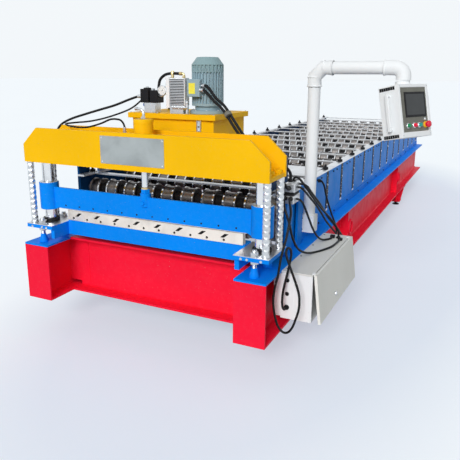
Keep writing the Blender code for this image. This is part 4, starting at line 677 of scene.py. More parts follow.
for row, leg_y in LEG_YS.items():
    for side_name, side in SIDES:
        leg = f"leg_{row}_{side_name}"
        x = side * BEAM_CENTRE_X
        bracket = box((x - 0.1, leg_y - 0.12, LEG_TOP - 0.016), (x + 0.1, leg_y + 0.12, LEG_TOP))
        bracket += box((x - 0.06, leg_y - 0.07, FLOOR + 0.048), (x + 0.06, leg_y + 0.07, FLOOR + 0.064))
        bracket += prism("X", tapered(leg_y, 0.12), x - WEB_SIDE, x + WEB_SIDE)
        bracket += prism("Y", tapered(x, 0.1), leg_y - WEB_SIDE, leg_y + WEB_SIDE)
        piece(leg + "_bracket", RED, bracket, replaces=[leg], bevel=0.0015)
        foot = [(FLOOR, 0.043), (FLOOR + 0.004, 0.045), (FLOOR + 0.01, 0.045), (FLOOR + 0.018, 0.03)]
        piece(
            leg + "_foot", BLACK_STEEL,
            turned("Z", x, leg_y, foot),
            turned("Z", x, leg_y, thread(FLOOR + 0.012, FLOOR + 0.05, 0.016), 20),
            hexagon("Z", x, leg_y, 0.026, FLOOR + 0.03, FLOOR + 0.0475),
        )

# Side walls keep their CAD shape. Bearing blocks, bolts and screws are added, with zinc specks and patches
# on the blocks as painted glints.
keep(SHADED_WALL_BLUE, "left_side_wall", "right_side_wall")
keep(BLUE, "lower_shear_beam")
keep(STEEL, "tie_bar_frame")
WALL_X = 0.8
STRIP_TOP = 0.4063
STATION_PITCH = 0.4525
STATIONS_Y = [0.62 + i * STATION_PITCH for i in range(15)]
UPPER_Z = 0.285
LOWER_Z = 0.125
SCREW_X = 0.78
SCREW_HEIGHT = 0.04
CAP_X = (WALL_X - 0.004, WALL_X + 0.0055)
# Scattered zinc specks up each bearing block: painted glints.
GLINT_SPECKS = 12

for side_name, side in SIDES:
    blocks = []
    caps_and_glints = []
    bolts = []
    screws = []
    for number, y in enumerate(STATIONS_Y):
        block_x = (WALL_X - 0.0137, WALL_X + 0.003)
        blocks += side_box(side, block_x, (y - 0.027, y + 0.027), (0.094, 0.391))
        near, far = sided(side, *CAP_X)
        for z in (UPPER_Z, LOWER_Z):
            blocks += cylinder("X", y, z, 0.021, near, far, 24, 0.001)
            caps_and_glints += turned("X", y, z, [(side * 0.804, 0.0085), (side * 0.807, 0.008)], 16)
        # Painted highlight: a zinc patch at each slot's foot and scattered zinc specks on the block.
        caps_and_glints += side_box(side, block_x, (y - 0.025, y + 0.025), (0.076, 0.093))
        for k in range(GLINT_SPECKS):
            v, z = y + ((k * 37 + number * 17) % 11 - 5) * 0.0046, 0.11 + k * 0.0225
            caps_and_glints += side_box(side, CAP_X, (v - 0.0022, v + 0.0022), (z, z + 0.004 + (k % 3) * 0.003))
        screw = thread(STRIP_TOP - 0.004, STRIP_TOP + SCREW_HEIGHT, 0.0095, 0.004)
        screws += turned("Z", side * SCREW_X, y, screw, 14)
        screws += hexagon("Z", side * SCREW_X, y, 0.022, STRIP_TOP + GAP, STRIP_TOP + 0.02)
        for step in (-0.012, 0.012):
            screws += bolt("Z", side * (WALL_X - 0.045), y + step, STRIP_TOP, 0.006)
        if number < len(STATIONS_Y) - 1:
            middle = y + STATION_PITCH / 2
            for step in (-0.055, 0.055):
                bolts += bolt("X", middle + step, 0.368, side * WALL_X, 0.008, side)
            bolts += bolt("X", middle, 0.028, side * (WALL_X + 0.006), 0.008, side)
    piece(side_name + "_bearing_blocks", BLACK_STEEL, blocks, bevel=0.001)
    piece(side_name + "_bearing_caps_and_glints", ZINC, caps_and_glints)
    piece(side_name + "_wall_bolts", BLACK_STEEL, bolts)
    piece(side_name + "_adjusting_screws", BLACK_STEEL, screws)

# Rollers: ribs darkened as painted shade, with chrome rims as painted glints, on black shafts with spacers
# between them
ROLLER_PITCH = 0.16
ROLLER_HALF = 0.05
ROLLER_RADIUS = 0.077
RIB_STEP = 0.0075
RIM_RADIUS = ROLLER_RADIUS + 0.0004
RIM_FOOT = 0.07
SHAFT_RADIUS = 0.035
SPACER_RADIUS = 0.045
SHAFT_END = 0.7747


def ribs(y, z, sides=48):
    shapes = []
    for i in range(10):
        left = (i - 4.5) * ROLLER_PITCH - ROLLER_HALF
        right = left + 2 * ROLLER_HALF
        valley = ROLLER_RADIUS - RIB_STEP
        profile = [
            (left, 0.034), (left, ROLLER_RADIUS - 0.004), (left + 0.003, ROLLER_RADIUS),
            (left + 0.014, ROLLER_RADIUS), (left + 0.02, valley), (right - 0.02, valley),
            (right - 0.014, ROLLER_RADIUS), (right - 0.003, ROLLER_RADIUS), (right, ROLLER_RADIUS - 0.004),
            (right, 0.034),
        ]
        shapes += turned("X", y, z, profile, sides)
    return shapes


def rims(y, z, sides=48):
    """Chrome bands on the shoulders of each rib, standing in for glints: painted highlights."""
    shapes = []
    for i in range(10):
        for centre in (-ROLLER_HALF + 0.0085, ROLLER_HALF - 0.0085):
            middle = (i - 4.5) * ROLLER_PITCH + centre
            profile = [(middle - 0.0055, RIM_FOOT), (middle - 0.005, RIM_RADIUS)]
            profile += [(middle + 0.005, RIM_RADIUS), (middle + 0.0055, RIM_FOOT)]
            shapes += turned("X", y, z, profile, sides)
    return shapes


def shaft(y, z, end):
    shapes = cylinder("X", y, z, SHAFT_RADIUS, -end, end, 32, 0.002)
    for i in range(9):
        middle = (i - 4) * ROLLER_PITCH
        half = ROLLER_PITCH / 2 - ROLLER_HALF + 0.001
        shapes += cylinder("X", y, z, SPACER_RADIUS, middle - half, middle + half, 32)
    return shapes


for number, y in enumerate(STATIONS_Y, 1):
    name = f"upper_roller_{number:02d}"
    piece(name + "_ribs", SHADED_ROLLER_STEEL, ribs(y, UPPER_Z), body=name, replaces=[name], angle=25)
    piece(name + "_rims", CHROME, rims(y, UPPER_Z, 40), body=name, angle=25)
    piece(name + "_shaft", BLACK_STEEL, shaft(y, UPPER_Z, SHAFT_END), body=name)

for bank in range(3):
    name = f"lower_roller_bank_{bank + 1}"
    low, high = (Vector(corner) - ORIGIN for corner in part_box(name))
    lower_ribs = []
    lower_shafts = []
    for y in STATIONS_Y[bank * 5:bank * 5 + 5]:
        lower_ribs += ribs(y, LOWER_Z, 36)
        lower_shafts += shaft(y, LOWER_Z, 0.76)
    piece(name + "_ribs", DARK_IRON, lower_ribs, replaces=[name], angle=25)
    piece(name + "_shafts", BLACK_STEEL, lower_shafts)
    rails = []
    for side in (-1, 1):
        rails += side_box(side, (0.755, SHAFT_END), (low[1], high[1]), (low[2], high[2]))
    piece(name + "_rails", BLACK_STEEL, rails, bevel=0.0015)

# Shear: shelves with jack screws, guide columns and twisted tie rods
COLUMN_X = 0.797
COLUMN_Y = 0.17
COLUMN_RADIUS = 0.042
SHELF_LOW = 0.102
SHELF_TOP = 0.13
SHELF_Y = (0.035, 0.325)
SHELF_X = (0.673, 0.893)
WEB_X = (0.673, 0.703)
TOP_PLATE = 0.004
BEAM_FLOOR = 0.555
ROD_X = 0.858
ROD_YS = {"front": 0.075, "back": 0.285}
JACK_X = 0.79
for side_name, side in SIDES:
    piece(
        side_name + "_shelf", BLUE,
        side_box(side, SHELF_X, SHELF_Y, (SHELF_LOW, SHELF_TOP - TOP_PLATE)),
        side_box(side, WEB_X, (0.055, SHELF_Y[1]), (0.035, SHELF_LOW + 0.001)),
        replaces=["shear_shelf_" + side_name], bevel=0.0015,
    )
    top_plate = side_box(side, SHELF_X, SHELF_Y, (SHELF_TOP - TOP_PLATE, SHELF_TOP))
    piece(side_name + "_shelf_top", STEEL, top_plate, bevel=0.001)
    jacks = []
    cones = []
    for y in ROD_YS.values():
        jack = side * JACK_X
        jacks += turned("Z", jack, y, thread(GAP, SHELF_TOP + 0.034, 0.015, 0.006), 20)
        jacks += hexagon("Z", jack, y, 0.026, SHELF_TOP, SHELF_TOP + 0.02)
        jacks += hexagon("Z", jack, y, 0.026, SHELF_LOW - 0.02, SHELF_LOW - GAP)
        cones += turned("Z", jack, y, [(GAP, 0.029), (0.008, 0.03), (0.03, 0.024), (0.056, 0.0165)], 28)
    for x in (0.722, 0.76, 0.845):
        jacks += bolt("Y", side * x, SHELF_LOW + 0.01, SHELF_Y[0], 0.008, -1)
    piece(side_name + "_jack_screws", ZINC, jacks)
    piece(side_name + "_jack_feet", BLUE, cones)
    column = [(SHELF_TOP + 0.022, COLUMN_RADIUS - 0.004), (SHELF_TOP + 0.024, COLUMN_RADIUS)]
    column += [(BEAM_FLOOR - GAP, COLUMN_RADIUS)]
    node = "guide_column_" + side_name
    piece(node + "_bar", CHROME, turned("Z", side * COLUMN_X, COLUMN_Y, column, 48), replaces=[node])
    collar = [(SHELF_TOP + GAP, 0.056), (SHELF_TOP + 0.002, 0.058), (SHELF_TOP + 0.018, 0.058)]
    collar += [(SHELF_TOP + 0.022, 0.054)]
    studs = []
    for u, v in around(side * COLUMN_X, COLUMN_Y, 0.049, 6, 30):
        studs += bolt("Z", u, v, SHELF_TOP + 0.0205, 0.0055)
    piece(node + "_collar", BLACK_STEEL, turned("Z", side * COLUMN_X, COLUMN_Y, collar, 40), studs)
    for row, y in ROD_YS.items():
        x = side * ROD_X
        node = f"tie_rod_{row}_{side_name}"
        piece(
            node + "_thread", ZINC,
            twisted(x, y, SHELF_TOP + GAP, BEAM_FLOOR - GAP, 0.0225),
            cylinder("Z", x, y, 0.026, SHELF_TOP + GAP, SHELF_TOP + 0.01, 24, 0.001),
            replaces=[node], angle=25,
        )

# Top beam with its bare plate, and the yellow caps inside it
keep(YELLOW, "top_beam")
PLATE_LOW = (-0.24, 0.589)
PLATE_HIGH = (0.22, 0.76)
piece("name_plate", PLATE_STEEL, prism("Y", rectangle(*PLATE_LOW, *PLATE_HIGH), 0.045, 0.0482), bevel=0.001)
plate_screws = []
for x in (PLATE_LOW[0] + 0.012, PLATE_HIGH[0] - 0.012):
    for z in (PLATE_LOW[1] + 0.012, PLATE_HIGH[1] - 0.012):
        plate_screws += turned("Y", x, z, [(0.0455, 0.0055), (0.0438, 0.005), (0.043, 0.003)], 16)
piece("name_plate_screws", ZINC, plate_screws)
nuts = []
for side in (-1, 1):
    for y in (0.1, 0.268):
        nuts += turned("Z", side * 0.846, y, [(0.5803, 0.026), (0.598, 0.026), (0.6, 0.023)], 24)
    boss = [(0.5803, 0.052), (0.596, 0.052), (0.602, 0.046)]
    nuts += turned("Z", side * (COLUMN_X + 0.012), COLUMN_Y, boss, 40)
piece("top_beam_nuts", YELLOW, nuts)

# Lower blade: slanted openings above a row of round holes
BLADE_HALF = 0.665
BLADE_Y = (0.192, 0.23)
BLADE_Z = (0.1403, 0.212)
SLOT_XS = (-0.574, -0.416, -0.258, -0.094, 0.067, 0.227, 0.388, 0.543)
SLOT_Z = (0.17, 0.196)
HOLE_START = -0.616
HOLE_PITCH = 0.1155
CUT_FROM = BLADE_Y[0] - 0.01
openings = []
for x in SLOT_XS:
    foot, head = SLOT_Z
    slanted = [(x - 0.03, foot), (x - 0.004, foot), (x + 0.03, head), (x + 0.002, head)]
    openings += prism("Y", slanted, CUT_FROM, BLADE_Y[0] + 0.014)
for i in range(11):
    openings += cylinder("Y", HOLE_START + HOLE_PITCH * i, 0.157, 0.0082, CUT_FROM, BLADE_Y[0] + 0.012, 20)
blade = box((-BLADE_HALF, BLADE_Y[0], BLADE_Z[0]), (BLADE_HALF, BLADE_Y[1], BLADE_Z[1]))
piece("lower_blade_bar", PALE_STEEL, blade, replaces=["lower_blade"], cut=openings)
# Painted shade: a black sheet at the floors of the openings and holes makes them read dark.
opening_shade_inlays = box((-BLADE_HALF + 0.02, BLADE_Y[0] + 0.01, 0.149), (BLADE_HALF - 0.02, BLADE_Y[0] + 0.016, 0.199))
piece("lower_blade_opening_shade", BLACK, opening_shade_inlays, bevel=0.0005)

# Ram: plate, sleeves on the columns, blade, round socket and piston rod
RAM_Y = (0.15, 0.17)
RAM_Z = (0.231, 0.374)
SLEEVE_Z = (0.218, 0.408)
RAM = "shear_ram"
outline = [(-0.731, 0.22), (-0.711, RAM_Z[0]), (0.711, RAM_Z[0]), (0.731, 0.22)]
outline += [(0.737, 0.22), (0.737, RAM_Z[1]), (-0.737, RAM_Z[1]), (-0.737, 0.22)]
piece("ram_plate", BLUE, prism("Y", outline, *RAM_Y), body=RAM, replaces=[RAM], bevel=0.002)
sleeves = []
sleeve_rims = []
for side in (-1, 1):
    x = side * COLUMN_X
    bottom, top = SLEEVE_Z
    profile = [(bottom, 0.0425), (bottom, 0.064), (bottom + 0.002, 0.066), (top - 0.006, 0.066)]
    profile += [(top - 0.004, 0.0645), (top - 0.004, 0.0425)]
    sleeves += turned("Z", x, COLUMN_Y, profile, 48, closed=True)
    profile = [(top - 0.0045, 0.0425), (top - 0.0045, 0.063), (top - 0.001, 0.063)]
    profile += [(top, 0.062), (top, 0.0425)]
    sleeve_rims += turned("Z", x, COLUMN_Y, profile, 48, closed=True)
piece("ram_sleeves", BLUE, sleeves, body=RAM)
piece("ram_sleeve_rims", ZINC, sleeve_rims, body=RAM)
piece("upper_blade", STEEL, box((-0.701, 0.165, 0.224), (0.701, 0.1865, 0.3)), body=RAM, bevel=0.001)
socket = cylinder("Z", 0, COLUMN_Y, 0.0335, 0.311, 0.398, 40, 0.002)
socket += turned("Y", -0.004, 0.337, [(0.1395, 0.0155), (0.131, 0.015), (0.129, 0.013)], 24)
piece("ram_socket", BLUE, socket, body=RAM)
piece("ram_rod_nut", BLUE, hexagon("Z", 0, COLUMN_Y, 0.03, 0.3985, 0.426), body=RAM, bevel=0.001)
collar = [(0.425, 0.0265), (0.435, 0.0265), (0.438, 0.023)]
piece("ram_rod_collar", BRASS, turned("Z", 0, COLUMN_Y, collar, 32), body=RAM)
rod = cylinder("Z", 0, COLUMN_Y, 0.0217, 0.4, 0.66, 40, 0.001)
piece("piston_rod", CHROME, rod, body=RAM)
screws = []
head = [(RAM_Y[0] + 0.001, 0.0058), (RAM_Y[0] - 0.0012, 0.0055), (RAM_Y[0] - 0.0015, 0.003)]
for i in range(12):
    screws += turned("Y", -0.641 + 0.1165 * i, 0.254, head, 16)
piece("ram_screws", BLACK_STEEL, screws, body=RAM)

# Press cylinder, its side port and the pipe from its cap
cylinder_profile = [
    (0.5803, 0.085), (0.603, 0.085), (0.605, 0.083), (0.605, 0.06), (0.835, 0.06), (0.836, 0.0615),
    (0.853, 0.0615), (0.858, 0.06), (0.86, 0.056),
]
barrel = turned("Z", 0, COLUMN_Y, cylinder_profile, 48)
piece("press_cylinder_barrel", YELLOW, barrel, replaces=["press_cylinder"], angle=25)
elbow = [(-0.055, COLUMN_Y, 0.735), (-0.1, COLUMN_Y, 0.735), (-0.12, COLUMN_Y, 0.736)]
elbow += [(-0.134, COLUMN_Y, 0.742), (-0.1395, COLUMN_Y, 0.752), (-0.14, COLUMN_Y, 0.774)]
cap_pipe = [(0, COLUMN_Y, 0.858), (0.004, COLUMN_Y, 0.885), (0.003, COLUMN_Y, 0.9)]
cap_pipe += [(-0.006, COLUMN_Y, 0.913), (-0.02, COLUMN_Y, 0.919), (-0.046, COLUMN_Y, 0.921)]
piece(
    "press_cylinder_ports", ZINC,
    tube(elbow, 0.0095), tube(cap_pipe, 0.0085),
    hexagon("X", COLUMN_Y, 0.735, 0.015, -0.078, -0.06),
    hexagon("Z", -0.14, COLUMN_Y, 0.0135, 0.757, 0.7745),
    hexagon("Z", 0, COLUMN_Y, 0.0145, 0.86, 0.874),
    hexagon("X", COLUMN_Y, 0.921, 0.012, -0.04, -0.056),
)
places = around(0, COLUMN_Y, 0.073, 4, 45)
piece("press_cylinder_bolts", BLACK_STEEL, *[bolt("Z", u, v, 0.605, 0.008) for u, v in places])

# Oil tank: body, lid, level gauge and filler cap
TANK_LOW = 0.615
LID_TOP = 0.873
LID_LOW = 0.838
TANK_X = 0.312
TANK_Y = (0.503, 0.987)
LID_X = 0.335
LID_Y = (0.48, 1.01)
GAUGE_X = (0.192, 0.226)
GAUGE_Z = (0.755, 0.851)
tank = box((-TANK_X, TANK_Y[0], TANK_LOW), (TANK_X, TANK_Y[1], LID_LOW + 0.001))
piece("oil_tank_body", YELLOW, tank, replaces=["oil_tank"], bevel=0.004)
piece("oil_tank_lid", YELLOW, box((-LID_X, LID_Y[0], LID_LOW), (LID_X, LID_Y[1], LID_TOP)), bevel=0.002)
(gauge_x0, gauge_x1), (gauge_z0, gauge_z1) = GAUGE_X, GAUGE_Z
outer = rectangle(gauge_x0, gauge_z0, gauge_x1, gauge_z1)
inner = rectangle(gauge_x0 + 0.007, gauge_z0 + 0.012, gauge_x1 - 0.007, gauge_z1 - 0.012)
gauge = stacked("Y", (0.504, outer), (0.491, outer), (0.491, inner), (0.496, inner))
piece("level_gauge_frame", ZINC, gauge, bevel=0.0008)
glass = box((gauge_x0 + 0.008, 0.4945, gauge_z0 + 0.013), (gauge_x1 - 0.008, 0.4975, gauge_z1 - 0.013))
piece("level_gauge_glass", LEVEL_GLASS, glass, bevel=0.0005)
gauge_screws = []
for z in (gauge_z0 + 0.006, gauge_z1 - 0.006):
    gauge_screws += turned("Y", 0.209, z, [(0.4915, 0.0045), (0.4885, 0.004), (0.4875, 0.0025)], 12)
float_ball = cylinder("Y", 0.209, 0.795, 0.0055, 0.4935, 0.4955, 16)
piece("level_gauge_screws", BLACK_STEEL, gauge_screws, float_ball)
filler = [(LID_TOP, 0.026), (LID_TOP + 0.012, 0.026), (LID_TOP + 0.014, 0.032)]
filler += [(0.922, 0.032), (0.928, 0.027)]
piece("filler_cap", BLACK, turned("Z", -0.24, 0.9, filler))
places = [(x, y) for x in (-0.318, -0.106, 0.106, 0.318) for y in (LID_Y[0] + 0.012, LID_Y[1] - 0.012)]
piece("tank_lid_bolts", ZINC, *[bolt("Z", x, y, LID_TOP, 0.006) for x, y in places])

# Pump motor: flange, ribbed body, fan cowl and terminal box
MOTOR_X = 0.2
MOTOR_Y = 0.64
MOTOR_TOP = 1.235
MOTOR_RADIUS = 0.105
FIN_ROOT = 0.093
FIN_COUNT = 30


def raised(profile, height):
    return [(height + w, radius) for w, radius in profile]


flange = [(GAP, 0.116), (0.002, 0.118), (0.02, 0.118), (0.022, 0.116), (0.0225, 0.084), (0.064, 0.084)]
fins = []
for i in range(FIN_COUNT):
    for share, radius in ((0.1, MOTOR_RADIUS), (0.3, MOTOR_RADIUS), (0.4, FIN_ROOT), (0.98, FIN_ROOT)):
        angle = 2 * pi * (i + share) / FIN_COUNT
        fins.append((MOTOR_X + radius * cos(angle), MOTOR_Y + radius * sin(angle)))
end_shield = [(0.05, 0.09), (0.052, 0.104), (0.068, 0.104), (0.07, 0.1)]
piece(
    "pump_motor_body", MOTOR,
    turned("Z", MOTOR_X, MOTOR_Y, raised(flange, LID_TOP), 48),
    turned("Z", MOTOR_X, MOTOR_Y, raised(end_shield, LID_TOP), 48),
    prism("Z", fins, LID_TOP + 0.055, MOTOR_TOP - 0.07),
    replaces=["pump_motor"],
)
cowl = [
    (-0.098, 0.101), (-0.096, 0.104), (-0.09, 0.104), (-0.088, 0.0975), (-0.052, 0.0975),
    (-0.05, 0.1053), (-0.046, 0.1053), (-0.003, 0.073), (0, 0.07),
]
cowl_ribs = []
for u, v in around(MOTOR_X, MOTOR_Y, 0.0995, 24):
    cowl_ribs += tube([(u, v, MOTOR_TOP - 0.09), (u, v, MOTOR_TOP - 0.049)], 0.0062, 10)
piece("fan_cowl", COWL, turned("Z", MOTOR_X, MOTOR_Y, raised(cowl, MOTOR_TOP), 48), cowl_ribs)
vents = []
for i in range(5):
    vents += torus("Z", MOTOR_X, MOTOR_Y, MOTOR_TOP - 0.0012, 0.012 + 0.011 * i, 0.0022, 40, 6)
piece("fan_cowl_vents", BLACK_STEEL, vents)
places = around(MOTOR_X, MOTOR_Y, 0.102, 8, 22.5)
piece("motor_flange_bolts", ZINC, *[bolt("Z", u, v, LID_TOP + 0.022, 0.007) for u, v in places])
terminal = box((0.121, 0.5, 0.985), (0.213, 0.57, 1.086))
terminal += box((0.118, 0.5005, 1.08), (0.216, 0.572, 1.096))
piece("terminal_box", MOTOR, terminal, bevel=0.004)
piece("terminal_plate", LABEL, box((0.134, 0.4985, 1.004), (0.18, 0.501, 1.072)), bevel=0.0005)
glands = [ferrule((0.212, y, z), (1, 0, 0), 0.013, 0.024) for y, z in ((0.53, 1.056), (0.512, 1.028))]
piece("terminal_glands", ZINC, *glands)

# Cooler on its pump base, with a bent pipe over it
COOLER_Y = (0.5, 0.56)
COOLER_Z = (0.927, 1.103)
FIN_PITCH = 0.0102
PIPE_Y = 0.53
PIPE_Z = 1.13
FITTING_X = 0.083
cooler_front, cooler_back = COOLER_Y
cooler_foot, cooler_top = COOLER_Z
core = box((-0.02, 0.512, cooler_foot), (0.084, 0.548, cooler_top))
plates = []
for i in range(17):
    z = cooler_foot + 0.004 + i * FIN_PITCH
    plates += box((-0.018, cooler_front, z), (0.1, cooler_back, z + 0.0042))
piece("oil_cooler_core", BLACK_STEEL, core, replaces=["oil_cooler"])
piece("oil_cooler_fins", STEEL, plates)
end_plates = box((-0.038, cooler_front - 0.002, 0.91), (-0.012, cooler_back, cooler_top + 0.004))
end_plates += box((0.098, cooler_front, cooler_foot), (0.104, cooler_back, cooler_top))
top_plate = rectangle(-0.016, cooler_front + 0.004, 0.088, cooler_back - 0.004)
end_plates += prism("Z", top_plate, cooler_top - 0.006, cooler_top)
piece("oil_cooler_frame", WHITE, end_plates, bevel=0.0012)
base = box((-0.01, 0.5, LID_TOP + GAP), (0.092, 0.551, 0.9275))
base += cylinder("X", 0.52, 0.914, 0.0215, 0.004, 0.1, 32, 0.002)
for i in range(8):
    base += cylinder("X", 0.52, 0.914, 0.0245, 0.012 + 0.0105 * i, 0.017 + 0.0105 * i, 32, 0.001)
base += hexagon("X", 0.518, 0.912, 0.015, 0.1, 0.118)
base_port = [(0.8735, 0.011), (0.94, 0.011), (0.942, 0.014), (0.956, 0.014), (0.96, 0.009)]
base += turned("Z", 0.11, 0.518, base_port, 20)
piece("oil_cooler_base", ZINC, base, bevel=0.001)
bow = [(-0.114, 1.036), (-0.1, 1.09), (-0.061, 1.122), (-0.015, 1.131), (0.03, 1.131), (0.061, PIPE_Z)]
bow = smooth_path([(x, PIPE_Y, z) for x, z in bow], 0.008)
piece("cooler_pipe", RUBBER, tube(bow, 0.0095))
elbow = [(0.06, PIPE_Z), (0.074, PIPE_Z), (FITTING_X, 1.12), (FITTING_X, 1.09)]
elbow = smooth_path([(x, PIPE_Y, z) for x, z in elbow], 0.006)
clip = [(1.1, 0.01), (1.124, 0.01), (1.126, 0.013), (1.138, 0.013), (1.148, 0.007)]
piece(
    "cooler_fittings", BRASS,
    tube(elbow, 0.008),
    hexagon("X", PIPE_Y, PIPE_Z, 0.0135, 0.052, 0.066),
    hexagon("Z", FITTING_X, PIPE_Y, 0.0125, 1.103, 1.114),
    turned("Z", -0.002, PIPE_Y, clip, 16),
)

# Valve block: manifold, coils, knobs and a dial
piece(
    "valve_coils", BLACK,
    box((-0.24, 0.497, 0.94), (-0.176, 0.578, 1.03)),
    box((-0.164, 0.497, 0.94), (-0.104, 0.578, 1.022)),
    cylinder("Z", -0.203, 0.53, 0.026, 0.955, 1.038, 32, 0.003),
    replaces=["valve_block"], bevel=0.005,
)
DIAL_X = -0.067
DIAL_Z = 1.023
DIAL_REACH = 0.023
stem = [(-0.104, 0.52, 0.985), (-0.08, 0.52, 0.985), (-0.066, 0.52, 0.992), (-0.062, 0.52, 1.01)]
manifold = box((-0.214, 0.502, LID_TOP + GAP), (-0.126, 0.573, 0.9405))
piece("valve_manifold", ZINC, manifold, bevel=0.002)
piece(
    "valve_fittings", ZINC,
    turned("X", 0.532, 0.979, [(-0.236, 0.012), (-0.246, 0.012), (-0.248, 0.01)], 24),
    hexagon("Z", -0.15, 0.52, 0.014, 1.018, 1.034),
    hexagon("Z", -0.122, 0.548, 0.012, 1.018, 1.04),
    cylinder("Z", -0.203, 0.53, 0.011, 1.03, 1.046, 20, 0.002),
    tube(stem, 0.006),
)
knob = [(-0.212, 0.014), (-0.232, 0.014), (-0.238, 0.012), (-0.24, 0.008)]
piece("valve_knob", BLUE_CAP, turned("X", 0.5375, 0.925, knob, 24))
rim = [(0.54, 0.028), (0.502, 0.032), (0.4955, 0.032), (0.495, 0.029), (0.4975, 0.0286)]
piece("dial_rim", ZINC, turned("Y", DIAL_X, DIAL_Z, rim, 40))
piece("dial_plate", DIAL, turned("Y", DIAL_X, DIAL_Z, [(0.4985, 0.0286), (0.4968, 0.0286)], 40))
marks = []
for i in range(11):
    angle = radians(-45 + 27 * i)
    u, v = DIAL_X + DIAL_REACH * cos(angle), DIAL_Z + DIAL_REACH * sin(angle)
    marks += box((u - 0.001, 0.4962, v - 0.001), (u + 0.001, 0.497, v + 0.001))
pointer = [(DIAL_X - 0.002, 1.018), (DIAL_X + 0.002, 1.018), (DIAL_X + 0.014, 1.038)]
marks += prism("Y", pointer, 0.4958, 0.497)
piece("dial_marks", BLACK, marks)

# Cutting valve on the stand: two coils on a dark block
piece(
    "cut_valve_coils", STEEL,
    box((0.837, 0.402, 0.441), (0.9046, 0.53, 0.495)),
    box((0.831, 0.4, 0.37), (0.9, 0.528, 0.42)),
    replaces=["cut_valve"], bevel=0.004,
)
piece(
    "cut_valve_block", BLACK_STEEL,
    box((0.8266, 0.41, 0.372), (0.84, 0.53, 0.49)),
    box((0.805, 0.35, 0.395), (0.829, 0.44, 0.49)),
    box((0.838, 0.42, 0.418), (0.895, 0.52, 0.442)),
    turned("Z", 0.8656, 0.4975, [(0.494, 0.017), (0.498, 0.017), (0.5, 0.014)], 24),
    bevel=0.001,
)

# Stand under the tank: outer plates, cross bars and links, and short legs on the right strip
STAND_X = (0.8063, 0.8263)
STAND_Y = ((0.5, 0.62), (0.73, 0.83))
STAND_TOP = 0.6147
STAND_BARS = ((0.53, 0.58), (0.77, 0.82))
SHORT_LEG_X = (0.7, 0.712)
stand = []
for span in STAND_Y:
    stand += side_box(-1, STAND_X, span, (GAP, STAND_TOP))
    stand += side_box(1, STAND_X, span, (GAP, 0.412))
    stand += side_box(1, SHORT_LEG_X, span, (0.407, STAND_TOP))
for span in STAND_BARS:
    stand += side_box(1, (-STAND_X[0] - 0.01, 0.708), span, (0.555, STAND_TOP))
for side in (-1, 1):
    stand += side_box(side, (0.252, 0.312), (STAND_BARS[0][1], STAND_BARS[1][0]), (0.565, STAND_TOP))
piece("tank_stand_frame", SHADED_STAND_BLUE, stand, replaces=["tank_stand"], bevel=0.0015)

# Post, elbows and arm
POST_X = 0.8503
POST_Y = 0.9
POST_RADIUS = 0.04
SLEEVE_RADIUS = 0.046
ARM_Z = 1.17
ARM_END = 1.4053
CUT = 0.055
elbow_1 = [(POST_X, POST_Y, ARM_Z - 0.12), (POST_X, POST_Y, ARM_Z - CUT)]
elbow_1 += [(POST_X + CUT, POST_Y, ARM_Z), (POST_X + 0.12, POST_Y, ARM_Z)]
bend = [(ARM_END - CUT + CUT * sin(a), POST_Y, ARM_Z - CUT + CUT * cos(a))
        for a in (radians(9 * i) for i in range(11))]
post = cylinder("Z", POST_X, POST_Y, POST_RADIUS, 0.076, ARM_Z - 0.11, 40)
post += cylinder("X", POST_Y, ARM_Z, POST_RADIUS, POST_X + 0.11, ARM_END - 0.11, 40)
post += tube(elbow_1, SLEEVE_RADIUS, 40)
elbow_2 = [(ARM_END - 0.12, POST_Y, ARM_Z)] + bend + [(ARM_END, POST_Y, 1.096)]
post += tube(elbow_2, SLEEVE_RADIUS - 0.001, 40)
for z in (ARM_Z - 0.12, ARM_Z - 0.064):
    post += cylinder("Z", POST_X, POST_Y, SLEEVE_RADIUS + 0.0025, z, z + 0.01, 40, 0.002)
for x in (POST_X + 0.055, POST_X + 0.11, ARM_END - 0.12):
    post += cylinder("X", POST_Y, ARM_Z, SLEEVE_RADIUS + 0.0025, x, x + 0.01, 40, 0.002)
piece("control_post_tube", WHITE, post, replaces=["control_post"], angle=50)
bracket = box((0.8003, POST_Y - 0.048, 0.073), (POST_X + 0.048, POST_Y + 0.048, 0.192))
piece("control_post_bracket", WHITE, bracket, bevel=0.003)
bolts = [bolt("Y", POST_X - 0.036, z, POST_Y - 0.048, 0.008, -1) for z in (0.093, 0.172)]
piece("control_post_bolts", BLACK_STEEL, *bolts)

# Control box, drawn upright with its front at +X, then tilted and turned
BOX_FRAME = (
    Matrix.Translation(ORIGIN + Vector((ARM_END, POST_Y, 1.0617)))
    @ Matrix.Rotation(radians(-26.5), 4, "Z")
    @ Matrix.Rotation(radians(-12), 4, "Y")
)
BOX_HALF = 0.149
BOX_DROP = 0.317
BOX_OUT = 0.07


def on_box(name, finish, *shapes, **options):
    piece(name, finish, *shapes, body="control_box", to_frame=BOX_FRAME, **options)


outer = rectangle(-BOX_HALF, -BOX_DROP, BOX_HALF, 0)
inner = rectangle(-0.131, -0.285, 0.128, -0.019)
shell = stacked("X", (-BOX_OUT, outer), (BOX_OUT, outer), (BOX_OUT, inner), (BOX_OUT - 0.006, inner))
on_box("control_box_shell", WHITE, shell, replaces=["control_box"], bevel=0.004)
panel = prism("X", rectangle(-0.1305, -0.2845, 0.1275, -0.0195), BOX_OUT - 0.0062, BOX_OUT - 0.0045)
on_box("control_panel", GREY_PANEL, panel, bevel=0.0006)
outer = rectangle(-0.095, -0.1965, 0.113, -0.0475)
inner = rectangle(-0.083, -0.1845, 0.101, -0.0595)
face = BOX_OUT - 0.0005
bezel = stacked("X", (BOX_OUT - 0.005, outer), (face, outer), (face, inner), (BOX_OUT - 0.002, inner))
on_box("screen_bezel", BLACK, bezel, bevel=0.0008)
glass = prism("X", rectangle(-0.0828, -0.1843, 0.1008, -0.0597), BOX_OUT - 0.0022, BOX_OUT - 0.0012)
